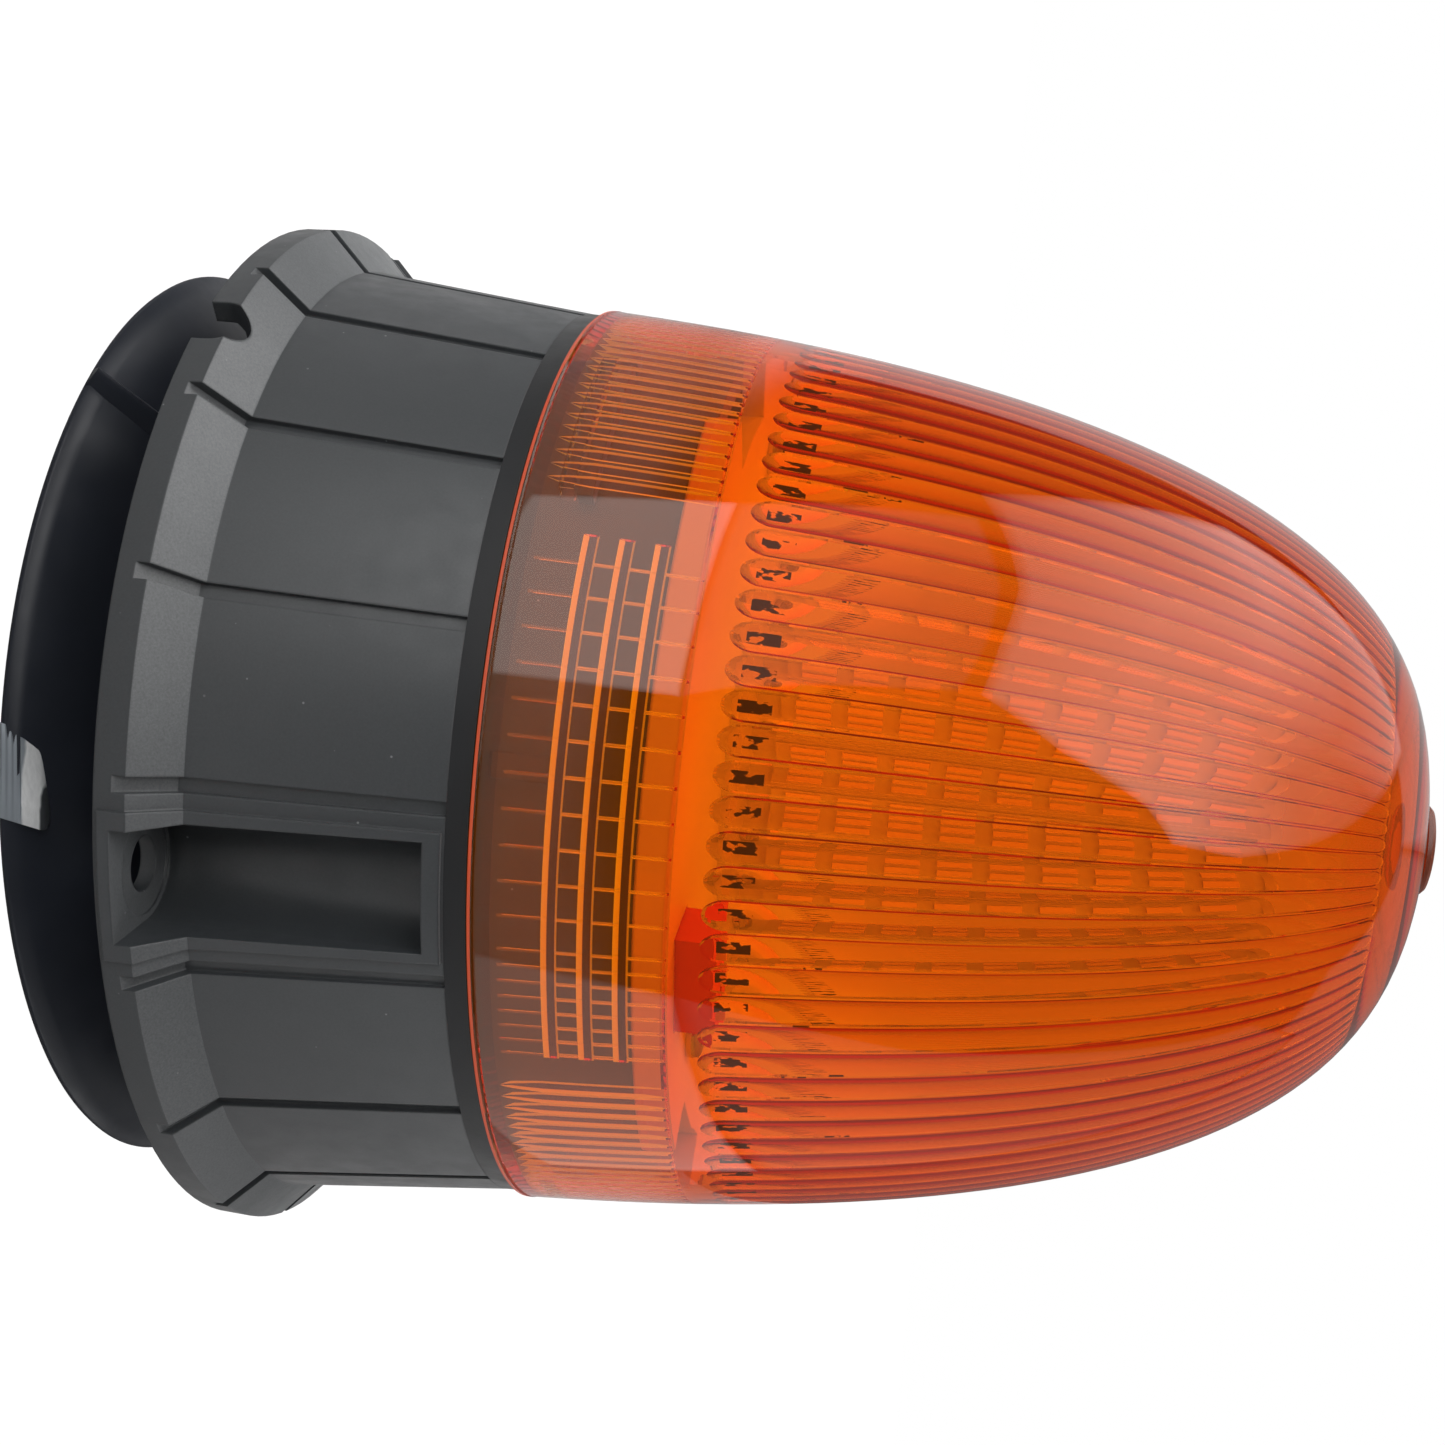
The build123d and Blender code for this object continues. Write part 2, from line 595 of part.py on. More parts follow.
# ---------------------------------------------------------------- LED column
with BuildPart() as column_core:
    with BuildSketch(Plane.XY.offset(DECK_TOP_Z)):
        Circle(COLUMN_FLANGE_R)
    extrude(amount=COLUMN_FLANGE_T)
    with BuildSketch(Plane.XY.offset(DECK_TOP_Z)):
        RegularPolygon(radius=COLUMN_AF / 2, side_count=FACES, major_radius=False, rotation=FACE_PITCH / 2)
    extrude(amount=COLUMN_TOP_Z - DECK_TOP_Z)
    with BuildSketch(Plane.XY.offset(DECK_TOP_Z)):
        Circle(COLUMN_BORE_R)
        with Locations([around(COLUMN_SCREW_R, clock) for clock in PILLAR_CLOCKS]):
            Circle(STUD_HOLE_R)
    extrude(amount=COLUMN_TOP_Z - DECK_TOP_Z, mode=Mode.SUBTRACT)
save(column_core.part, "column_core")

with BuildPart() as column_screws:
    with Locations([around(COLUMN_SCREW_R, clock, DECK_TOP_Z + COLUMN_FLANGE_T) for clock in PILLAR_CLOCKS]):
        Cylinder(SCREW_HEAD_R, SCREW_HEAD_H, align=(Align.CENTER, Align.CENTER, Align.MIN))
    fillet(column_screws.edges().group_by(Axis.Z)[-1], 1.2)
    with Locations([around(COLUMN_SCREW_R, clock, DECK_TOP_Z + COLUMN_FLANGE_T) for clock in PILLAR_CLOCKS]):
        Cylinder(STUD_R, DECK_T + COLUMN_FLANGE_T, align=(Align.CENTER, Align.CENTER, Align.MAX))
save(column_screws.part, "column_screws")

STRIP_Z = DECK_TOP_Z + COLUMN_FLANGE_T + SCREW_HEAD_H + STRIP_END_GAP
STRIP_L = COLUMN_TOP_Z - STRIP_END_GAP - STRIP_Z
FACE_CLOCKS = [FACE_PITCH * i for i in range(FACES)]
with BuildPart() as led_strips:
    with Locations([around(COLUMN_AF / 2, clock, STRIP_Z) for clock in FACE_CLOCKS]):
        Box(STRIP_T, STRIP_W, STRIP_L, align=(Align.MIN, Align.CENTER, Align.MIN))
save(led_strips.part, "led_strips")

with BuildPart() as led_chips:
    for clock in FACE_CLOCKS:
        with Locations(around(COLUMN_AF / 2 + STRIP_T + CHIP_T / 2, clock, STRIP_Z + STRIP_L / 2)):
            with GridLocations(0, CHIP_PITCH, 1, CHIP_COLUMNS):
                with Locations([(0, 0, CHIP_ROW_PITCH * (i - (CHIP_ROWS - 1) / 2)) for i in range(CHIP_ROWS)]):
                    Box(CHIP_T, CHIP_W, CHIP_H)
save(led_chips.part, "led_chips")

with BuildPart() as crown_board:
    with BuildSketch(Plane.XY.offset(COLUMN_TOP_Z)):
        Circle(CROWN_R)
        Circle(STUD_HOLE_R, mode=Mode.SUBTRACT)
    extrude(amount=CROWN_T)
save(crown_board.part, "crown_board")

with BuildPart() as crown_chips:
    with Locations((0, 0, COLUMN_TOP_Z + CROWN_T)):
        with PolarLocations(CROWN_CHIP_AT_R, CROWN_CHIPS):
            Box(CHIP_H, CHIP_W, CHIP_T, align=(Align.CENTER, Align.CENTER, Align.MIN))
save(crown_chips.part, "crown_chips")

with BuildPart() as crown_screw:
    with Locations((0, 0, COLUMN_TOP_Z + CROWN_T)):
        Cylinder(SCREW_HEAD_R, SCREW_HEAD_H, align=(Align.CENTER, Align.CENTER, Align.MIN))
        Cylinder(STUD_R, CROWN_T + STUD_L, align=(Align.CENTER, Align.CENTER, Align.MAX))
save(crown_screw.part, "crown_screw")

# ---------------------------------------------------------------- flash-pattern switch
SLIDER_YS = [SLIDER_PITCH * (i - (SLIDERS - 1) / 2) for i in range(SLIDERS)]
SLOT_W = SLIDER_W + 2 * SWITCH_GAP
SLOT_D = SLIDER_D + SLIDER_TRAVEL + 2 * SWITCH_GAP
SWITCH_PLANE = Plane(around(SWITCH_AT_R, SWITCH_CLOCK, DECK_Z))

with BuildPart() as switch_board:
    with BuildSketch(SWITCH_PLANE):
        Rectangle(SWITCH_BOARD_D, SWITCH_BOARD_W)
    extrude(amount=-BOARD_T)
save(switch_board.part, "switch_board")

with BuildPart() as switch_body:
    with BuildSketch(SWITCH_PLANE):
        Rectangle(SWITCH_D, SWITCH_W)
    extrude(amount=SWITCH_H)
    with BuildSketch(SWITCH_PLANE.offset(SWITCH_H)):
        with Locations([(0, y) for y in SLIDER_YS]):
            Rectangle(SLOT_D, SLOT_W)
    extrude(amount=-SLOT_DEPTH, mode=Mode.SUBTRACT)
save(switch_body.part, "switch_body")

for number, y in enumerate(SLIDER_YS, start=1):
    with BuildPart() as switch_slider:
        with BuildSketch(SWITCH_PLANE.offset(SWITCH_H - SLOT_DEPTH + SWITCH_GAP)):
            with Locations((-SLIDER_TRAVEL / 2, y)):
                Rectangle(SLIDER_D, SLIDER_W)
        extrude(amount=SLOT_DEPTH - SWITCH_GAP + SLIDER_PROUD)
    save(switch_slider.part, "switch_slider_" + str(number))
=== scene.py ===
from math import asin, cos, degrees, pi, radians, sin, sqrt

import bpy
import numpy as np
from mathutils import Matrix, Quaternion, Vector


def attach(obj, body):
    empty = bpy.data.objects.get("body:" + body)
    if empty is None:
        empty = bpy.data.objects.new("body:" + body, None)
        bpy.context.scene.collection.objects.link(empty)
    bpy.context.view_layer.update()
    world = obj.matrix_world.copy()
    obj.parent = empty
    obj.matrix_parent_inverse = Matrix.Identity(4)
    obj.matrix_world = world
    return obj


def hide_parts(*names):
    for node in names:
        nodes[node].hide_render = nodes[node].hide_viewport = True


# Looks for the amber LED beacon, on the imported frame. Metres, +Z up along the beacon's axis.
# Sizes named here are in millimetres and angles in degrees. A clock angle runs round the axis
# from the -Y side, anticlockwise seen from above.
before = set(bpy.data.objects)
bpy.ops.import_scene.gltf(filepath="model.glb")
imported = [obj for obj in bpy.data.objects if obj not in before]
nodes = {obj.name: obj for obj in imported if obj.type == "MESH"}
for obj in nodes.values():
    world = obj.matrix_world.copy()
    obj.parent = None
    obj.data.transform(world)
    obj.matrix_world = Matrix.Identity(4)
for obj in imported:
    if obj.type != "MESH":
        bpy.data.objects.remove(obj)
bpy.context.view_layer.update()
MM = 0.001
THIRD = 120.0

# ---------------------------------------------------------------- dimensions
# lens: outer meridian (LENS_ROOT_Z to LENS_TIP_Z), rim and tip nub
LENS_R, LENS_ROOT_Z, LENS_TIP_Z, LENS_WALL = 67.7, 16.7, 185.8, 2.2
OUTLINE_P, OUTLINE_Q = 2.47, 2.77
LENS_Z = 60.5
RIM_R, RIM_H, RIM_CHAMFER, RIM_EDGE_H = 66.85, 0.8, 0.2, 0.45
NUB_R, NUB_TOP_Z, NUB_ROUND = 6.8, 187.8, 1.3
LUG_R, LUG_Z, LUG_T, LUG_CLOCK, LUG_ARC, LUG_GAP, LUG_CHAMFER = 61.9, 64.9, 2.0, 60.0, 24.0, 0.9, 0.4

# lens: flutes inside the dome, each with a step at its edge and a painted shade mark at its start, for
# the shadow of its nose
FLUTES, FLUTE_CLOCK, FLUTE_HALF, FLUTE_H = 90, -0.8, 1.87, 0.42
FLUTE_Z, FLUTE_END_R, FLUTE_NOSE, FLUTE_TAIL = 89.2, 30.4, 3.2, 1.92
FLUTE_STEP, FLUTE_BEVEL, FLUTE_FULL_R = 0.1, 0.13, 62.0
NOSE_SHADE_START, NOSE_SHADE_END = 2.3, 6.4

# lens: comb ribs and windows inside the lower wall, in three sectors
CELLS, CELL_CLOCK = 180, 0.7
COMB_Z, COMB_TOP_Z, COMB_H, COMB_POINT = 63.2, 84.8, 0.5, 5.5
COMB_CLOCK, COMB_HALF = 47.7, 23.6
WINDOW_CLOCK, WINDOW_HALF = -11.2, 30.9
CLOSE_CLOCK, CLOSE_HALF = 13.1, 6.6
BANDS = (69.4, 73.9, 78.4)
BAND_W, BAND_H, BAND_RISE, BAND_FALL = 2.0, 0.5, 0.7, 0.3
LINE_H, LOW_LINE_H, TOP_BEAD_H, TOP_BEAD_HALF = 0.3, 0.1, 0.22, 0.3

# white lip at the deck's edge, open where the lens lugs pass
LIP_IN_R, LIP_OUT_R, LIP_Z, LIP_TOP_Z, LIP_CHAMFER = 61.6, 62.6, 80.6, 85.0, 0.3
NOTCH_CLOCK, NOTCH_HALF = 47.0, 10.0

# suction cup, its pull rib and the bright tab on its rim
CUP_RIM_R, CUP_SLOPE_R, CUP_HUB_R, CUP_HUB_Z, CUP_TOP_Z = 66.6, 67.4, 48.0, 16.0, 20.0
CUP_WALL, CUP_BELLY, CUP_BOLT_HOLE_R = 3.6, 0.25, 4.2
FLANK_Z, FLANK_IN = 1.3, 17.4
PULL_CLOCK, PULL_W, PULL_H, PULL_TIP = -56.8, 4.2, 2.0, 1.15
PULL_Z, PULL_UP, PULL_IN = 0.8, 14.9, 16.0
TAB_CLOCK, TAB_W, TAB_SKEW, TAB_TILT, TAB_LENGTH, TAB_T = -8.6, 12.0, 2.2, 1.1, 4.7, 0.5
TAB_Z, TAB_OUT = 0.75, 0.5
RIDGES, RIDGE_H, RIDGE_END, GAP_END, GAP_DEPTH = 9, 0.08, 0.34, 0.4, 0.35

# camera, in metres, at the photograph's viewing angle
CAMERA_PLACE, CAMERA_AIM = (-0.0915, -0.3032, 0.1288), (0.0182, -0.0036, 0.1042)
CAMERA_ROLL, CAMERA_LENS, CAMERA_SHIFT = 96.35, 51.885, (-0.0955, 0.1305)

# ---------------------------------------------------------------- materials
# What the lens material reads on each face: a frosted face scatters light and has a painted
# yellow-orange glow, the bottom edge has a painted red colour and glow, the nub's skin is dull with a
# faint painted glow, and a painted shade mark by each flute's nose, for the nose's shadow, is dark
# where its noise says so.
MARK = "frost"
NOSE_SHADE, CLEAR, FROSTED_AND_GLOWING, GLOWING_EDGE, DULL_SKIN = -1.0, 0.0, 1.0, 2.0, 3.0


class Finish:
    """A Principled material, with short calls for the textures that drive it."""

    def __init__(self, name, roughness=0.5, metallic=0.0, ior=1.5):
        self.material = bpy.data.materials.new(name)
        self.material.use_nodes = True
        self.tree = self.material.node_tree
        self.shader = self.tree.nodes["Principled BSDF"]
        self.output = self.tree.nodes["Material Output"]
        self.set("Roughness", roughness)
        self.set("Metallic", metallic)
        self.set("IOR", ior)
        self.place = self.node("ShaderNodeTexCoord").outputs["Object"]

    def node(self, kind, **settings):
        made = self.tree.nodes.new(kind)
        for key, value in settings.items():
            setattr(made, key, value)
        return made

    def link(self, source, target):
        self.tree.links.new(source, target)

    def set(self, socket, value):
        self.shader.inputs[socket].default_value = value

    def drive(self, socket, source):
        """Drives one input of the shader."""
        self.link(source, self.shader.inputs[socket])

    def stretched(self, scale):
        """Object coordinates scaled differently along each axis."""
        made = self.node("ShaderNodeMapping")
        made.inputs["Scale"].default_value = scale
        self.link(self.place, made.inputs["Vector"])
        return made.outputs["Vector"]

    def noise(self, size, detail=3.0, rough=0.55, place=None):
        """Noise with features of about this size in millimetres."""
        made = self.node("ShaderNodeTexNoise")
        made.inputs["Scale"].default_value = 1 / (size * MM)
        made.inputs["Detail"].default_value = detail
        made.inputs["Roughness"].default_value = rough
        self.link(place or self.place, made.inputs["Vector"])
        return made.outputs["Fac"]

    def cells(self, size):
        """Distance to the middle of irregular cells of about this size in millimetres."""
        made = self.node("ShaderNodeTexVoronoi")
        made.inputs["Scale"].default_value = 1 / (size * MM)
        self.link(self.place, made.inputs["Vector"])
        return made.outputs["Distance"]

    def remap(self, source, low, high, to_low=0.0, to_high=1.0):
        made = self.node("ShaderNodeMapRange")
        ends = (("From Min", low), ("From Max", high), ("To Min", to_low), ("To Max", to_high))
        for socket, value in ends:
            made.inputs[socket].default_value = value
        self.link(source, made.inputs["Value"])
        return made.outputs["Result"]

    def maths(self, operation, *values):
        made = self.node("ShaderNodeMath", operation=operation)
        for socket, value in zip(made.inputs, values):
            if isinstance(value, (int, float)):
                socket.default_value = value
            else:
                self.link(value, socket)
        return made.outputs["Value"]

    def mixed(self, factor, first, second):
        """Colour between two colours or colour outputs."""
        made = self.node("ShaderNodeMix", data_type="RGBA")
        self.link(factor, made.inputs["Factor"])
        for socket, value in (("A", first), ("B", second)):
            target = [s for s in made.inputs if s.name == socket and s.type == "RGBA"][0]
            if isinstance(value, tuple):
                target.default_value = (*value, 1.0)
            else:
                self.link(value, target)
        return [s for s in made.outputs if s.type == "RGBA"][0]

    def mixed_shader(self, factor, first, second):
        made = self.node("ShaderNodeMixShader")
        for socket, source in zip(made.inputs, (factor, first, second)):
            self.link(source, socket)
        return made.outputs["Shader"]

    def bump(self, height, depth, strength=1.0, below=None):
        """Bump of this depth in millimetres, on top of another normal if there is one."""
        made = self.node("ShaderNodeBump")
        made.inputs["Strength"].default_value = strength
        made.inputs["Distance"].default_value = depth * MM
        self.link(height, made.inputs["Height"])
        if below is not None:
            self.link(below, made.inputs["Normal"])
        self.drive("Normal", made.outputs["Normal"])

    def softened(self, radius):
        """Normal rounded over edges by this radius in millimetres."""
        made = self.node("ShaderNodeBevel", samples=4)
        made.inputs["Radius"].default_value = radius * MM
        return made.outputs["Normal"]


def moulded(name, colour, roughness, grain=0.35, depth=0.02, shift=0.25, edge=0.0, coat=0.0):
    """Moulded plastic, rubber or resin: a drifting tone, a fine surface grain and soft edges."""
    finish = Finish(name)
    light = tuple(min(1.0, c * (1 + shift)) for c in colour)
    dark = tuple(c * (1 - shift) for c in colour)
    drift = finish.remap(finish.noise(14.0, 2.0), 0.3, 0.7)
    finish.drive("Base Color", finish.mixed(drift, dark, light))
    patch = finish.noise(5.0, 3.0)
    finish.drive("Roughness", finish.remap(patch, 0.3, 0.7, roughness - 0.06, roughness + 0.06))
    below = finish.softened(edge) if edge else None
    finish.bump(finish.noise(grain, 2.0), depth, below=below)
    if coat:
        finish.set("Coat Weight", coat)
        finish.set("Coat Roughness", 0.08)
    return finish.material


def metal(name, colour, roughness, lines=(1.0, 1.0, 1.0), edge=0.0, metallic=1.0):
    """Metal with a brushed or turned grain: lines stretches the noise along one axis."""
    finish = Finish(name, metallic=metallic)
    grain = finish.noise(0.4, 3.0, place=finish.stretched(lines))
    dull = tuple(c * 0.8 for c in colour)
    finish.drive("Base Color", finish.mixed(finish.remap(grain, 0.25, 0.75), dull, colour))
    finish.drive("Roughness", finish.remap(grain, 0.3, 0.7, roughness - 0.07, roughness + 0.1))
    below = finish.softened(edge) if edge else None
    finish.bump(grain, 0.01, below=below)
    return finish.material


def tab_steel():
    """Satin steel, darker along the fold's ridges, with a painted dark reflection at the far end, where
    the face rolls away.
    """
    finish = Finish("satin_steel", metallic=0.4)
    parts = finish.node("ShaderNodeSeparateXYZ")
    finish.link(finish.place, parts.inputs["Vector"])
    drift = finish.maths("MULTIPLY_ADD", finish.noise(3.0, 2.0), 0.6 * MM, -0.3 * MM)
    height = finish.maths("ADD", parts.outputs["Z"], drift)
    grain = finish.noise(0.4, 3.0, place=finish.stretched((0.3, 1.0, 1.0)))
    face = finish.mixed(finish.remap(grain, 0.25, 0.75), (0.74, 0.75, 0.75), (0.88, 0.89, 0.89))
    above_ridges = finish.remap(height, 2.6 * MM, 2.8 * MM)
    darker_by_ridges = finish.mixed(above_ridges, (0.30, 0.33, 0.36), face)
    # Painted reflection: the far end is near black, for the dark it reflects where it rolls away.
    dark_end_reflection = finish.remap(height, 4.3 * MM, 4.5 * MM)
    finish.drive("Base Color", finish.mixed(dark_end_reflection, darker_by_ridges, (0.06, 0.065, 0.07)))
    finish.drive("Roughness", finish.remap(grain, 0.3, 0.7, 0.29, 0.42))
    finish.bump(grain, 0.004)
    return finish.material


def housing_plastic():
    """Charcoal nylon: a spark-eroded grain, stronger on faces that look upward, which are also painted
    lighter for light falling from above, and pale moulding dust in it.
    """
    finish = Finish("charcoal_nylon", ior=1.72)
    parts = finish.node("ShaderNodeSeparateXYZ")
    finish.link(finish.node("ShaderNodeNewGeometry").outputs["Normal"], parts.inputs["Vector"])
    # Painted light: faces that look upward are lightened, for the light that falls on them from above;
    # their grain bump is stronger too.
    upward_light_and_grain = finish.remap(parts.outputs["Z"], 0.15, 0.4, 0.25, 1.0)
    drift = finish.remap(finish.noise(30.0, 3.0), 0.3, 0.7)
    tone = finish.mixed(drift, (0.0085, 0.0108, 0.0130), (0.013, 0.0160, 0.0188))
    fine = finish.remap(finish.noise(0.3, 3.0, 0.75), 0.3, 0.7, 0.5, 1.0)
    grain_and_top_light = finish.mixed(finish.maths("MULTIPLY", fine, upward_light_and_grain), tone, (0.104, 0.108, 0.111))
    dust = finish.remap(finish.cells(3.1), 0.035, 0.06, 1.0, 0.0)
    patches = finish.remap(finish.noise(6.0, 1.0), 0.5, 0.58)
    specks = finish.maths("MULTIPLY", finish.maths("MULTIPLY", dust, patches), 0.6)
    finish.drive("Base Color", finish.mixed(specks, grain_and_top_light, (0.32, 0.32, 0.33)))
    finish.drive("Roughness", finish.remap(finish.noise(4.0, 3.0), 0.3, 0.7, 0.31, 0.42))
    height = finish.maths("MULTIPLY", finish.noise(0.3, 3.0, 0.7), upward_light_and_grain)
    finish.bump(height, 0.02, 0.7, below=finish.softened(0.4))
    return finish.material


def amber_lens(name, depth, ior):
    """Clear amber plastic. Its colour is absorption, so thick ribs and edges are redder.
    A faint glow in the volume stands for light piped along the wall, and fills long paths.
    Shadow and diffuse rays pass straight through, so that the inside is lit."""
    finish = Finish(name, ior=ior)
    mark = finish.node("ShaderNodeAttribute", attribute_name=MARK).outputs["Fac"]
    marked = finish.remap(mark, CLEAR, FROSTED_AND_GLOWING)
    edge_glow = finish.remap(mark, FROSTED_AND_GLOWING, GLOWING_EDGE)
    dull = finish.remap(mark, GLOWING_EDGE, DULL_SKIN)
    # Painted shade: streaky dark marks at the flutes' noses stand for the noses' shadows.
    streaks = finish.noise(1.1, 2.0, 0.5, finish.stretched((1.0, 1.0, 0.45)))
    shade_breakup = finish.remap(streaks, 0.47, 0.5)
    nose_shade = finish.maths("MULTIPLY", finish.remap(mark, CLEAR, NOSE_SHADE), shade_breakup)
    frost = finish.maths("MAXIMUM", marked, nose_shade)

    flow = finish.remap(finish.noise(25.0, 2.0), 0.3, 0.7)
    colour = finish.mixed(flow, (1.0, 0.97, 0.93), (1.0, 0.99, 0.97))
    colour = finish.mixed(frost, colour, (0.70, 0.95, 0.60))
    # Painted glow colour: the bottom edge is dark red, for light piped along the wall.
    colour = finish.mixed(edge_glow, colour, (0.36, 0.05, 0.016))
    colour = finish.mixed(dull, colour, (0.10, 0.026, 0.011))
    # The painted shade marks are near black.
    finish.drive("Base Color", finish.mixed(nose_shade, colour, (0.012, 0.011, 0.012)))
    # Painted glow: frosted faces glow yellow-orange, the bottom edge red and the nub's skin faintly
    # red.
    finish.drive("Emission Color", finish.mixed(edge_glow, (1.0, 0.85, 0.0), (0.7, 0.07, 0.01)))
    strength = finish.remap(mark, GLOWING_EDGE, DULL_SKIN, 0.28, 0.03)
    finish.drive("Emission Strength", finish.maths("MULTIPLY", marked, strength))
    smear = finish.remap(finish.noise(3.0, 4.0), 0.5, 0.85, 0.0, 0.012)
    rough = finish.maths("MULTIPLY", frost, 0.35)
    finish.drive("Roughness", finish.maths("MAXIMUM", smear, rough))
    finish.drive("Transmission Weight", finish.maths("MULTIPLY_ADD", frost, -0.95, 1.0))

    path = finish.node("ShaderNodeLightPath").outputs
    straight = finish.maths("MAXIMUM", path["Is Shadow Ray"], path["Is Diffuse Ray"])
    through = finish.node("ShaderNodeBsdfTransparent")
    through.inputs["Color"].default_value = (0.97, 0.96, 0.95, 1.0)
    surface = finish.mixed_shader(
        straight, finish.shader.outputs["BSDF"], through.outputs["BSDF"])
    finish.link(surface, finish.output.inputs["Surface"])

    inside = finish.node("ShaderNodeVolumeAbsorption")
    inside.inputs["Color"].default_value = (0.98, 0.745, 0.0, 1.0)
    inside.inputs["Density"].default_value = depth
    glow = finish.node("ShaderNodeEmission")
    glow.inputs["Color"].default_value = (1.0, 0.5, 0.0, 1.0)
    glow.inputs["Strength"].default_value = depth * 0.007
    both = finish.node("ShaderNodeAddShader")
    finish.link(inside.outputs["Volume"], both.inputs[0])
    finish.link(glow.outputs["Emission"], both.inputs[1])
    finish.link(both.outputs["Shader"], finish.output.inputs["Volume"])
    finish.material.cycles.emission_sampling = "NONE"
    return finish.material


LENS_AMBER = amber_lens("amber_polycarbonate", 1500.0, 1.585)
LUG_AMBER = amber_lens("amber_thin", 150.0, 1.15)
CUP_RUBBER = moulded("cup_rubber_navy", (0.013, 0.015, 0.021), 0.35, 3.0, 0.003, 0.12)
DECK_WHITE = moulded("deck_white", (0.80, 0.80, 0.78), 0.35, 0.6, 0.01, 0.03, edge=0.4)
SLIDER_WHITE = moulded("slider_white", (0.80, 0.80, 0.78), 0.35, 0.4, 0.01, 0.03)
BRIGHT_STEEL = metal("bright_steel", (0.74, 0.75, 0.76), 0.16, (0.15, 1.0, 1.0))
MASK_GREEN, BOARD_WHITE, CROWN_WHITE = (0.015, 0.16, 0.06), (0.70, 0.70, 0.67), (0.74, 0.75, 0.72)
PHOSPHOR = (0.92, 0.78, 0.36)
FINISHES = {
    "base_housing": housing_plastic(),
    "lens_seal": moulded("seal_rubber_black", (0.006, 0.0065, 0.0075), 0.34, 0.5, 0.01),
    "magnet_pot": metal("zinc_plate", (0.58, 0.59, 0.58), 0.36, edge=0.3),
    "magnet_ring": moulded("sintered_ferrite", (0.10, 0.10, 0.105), 0.62, 0.5, 0.06),
    "magnet_bolt": BRIGHT_STEEL,
    "magnet_nut": metal("zinc_nut", (0.60, 0.60, 0.58), 0.36, edge=0.3),
    "cable_grommet": moulded("grommet_rubber_black", (0.02, 0.02, 0.021), 0.55, edge=0.3),
    "breather_plug": moulded("vent_white", (0.70, 0.70, 0.68), 0.4, edge=0.3),
    "driver_board": moulded("solder_mask_green", MASK_GREEN, 0.35, 2.5, 0.03, coat=0.4),
    "driver_capacitors": metal("can_aluminium", (0.68, 0.69, 0.71), 0.36, (1.0, 1.0, 0.1)),
    "driver_inductor": moulded("ferrite_core_grey", (0.09, 0.09, 0.09), 0.6, 0.4, 0.05),
    "driver_chips": moulded("epoxy_black", (0.022, 0.022, 0.023), 0.5, 0.25, 0.02),
    "terminal_block": moulded("terminal_green", (0.04, 0.30, 0.10), 0.35, edge=0.3),
    "terminal_screws": metal("zinc_screw", (0.62, 0.62, 0.60), 0.36),
    "deck_pillars": metal("turned_brass", (0.72, 0.53, 0.24), 0.16, (1.0, 1.0, 0.2)),
    "reflector_deck": DECK_WHITE,
    "deck_screws": BRIGHT_STEEL,
    "column_core": metal(
        "extruded_aluminium", (0.84, 0.85, 0.86), 0.42, (1.0, 1.0, 0.08), metallic=0.35),
    "column_screws": BRIGHT_STEEL,
    "led_strips": moulded("solder_mask_white", BOARD_WHITE, 0.35, 1.8, 0.02, 0.04),
    "led_chips": moulded("phosphor_yellow", PHOSPHOR, 0.2, 0.5, 0.01, 0.05, coat=0.6),
    "crown_board": moulded("solder_mask_crown", CROWN_WHITE, 0.35, 1.8, 0.02, 0.04),
    "crown_chips": moulded("phosphor_crown", PHOSPHOR, 0.2, 0.5, 0.01, 0.05, coat=0.6),
    "crown_screw": BRIGHT_STEEL,
    "switch_board": moulded("switch_mask_green", MASK_GREEN, 0.35, 2.5, 0.03),
    "switch_body": moulded("switch_red", (0.62, 0.012, 0.010), 0.35, 0.5, 0.01, 0.08, edge=0.25),
}
for name in nodes:
    if name.startswith("switch_slider"):
        FINISHES[name] = SLIDER_WHITE
for name, material in FINISHES.items():
    for material_slot in nodes[name].material_slots:
        material_slot.material = material


# ---------------------------------------------------------------- mesh helpers
def build(name, points, faces, material, body, crease, flipped=False, marks=None):
    """One mesh piece from points in millimetres, smooth except past the crease angle."""
    mesh = bpy.data.meshes.new(name)
    mesh.from_pydata([tuple(c * MM for c in p) for p in points], [], faces)
    if flipped:
        mesh.flip_normals()
    if marks is not None:
        mesh.attributes.new(MARK, "FLOAT", "FACE").data.foreach_set("value", marks)
    mesh.materials.append(material)
    mesh.shade_smooth()
    mesh.set_sharp_from_angle(angle=radians(crease))
    piece = bpy.data.objects.new(name, mesh)
    bpy.context.scene.collection.objects.link(piece)
    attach(piece, body)
    return piece


def even(count):
    """Evenly spaced clock angles."""
    return np.arange(count) * 360 / count


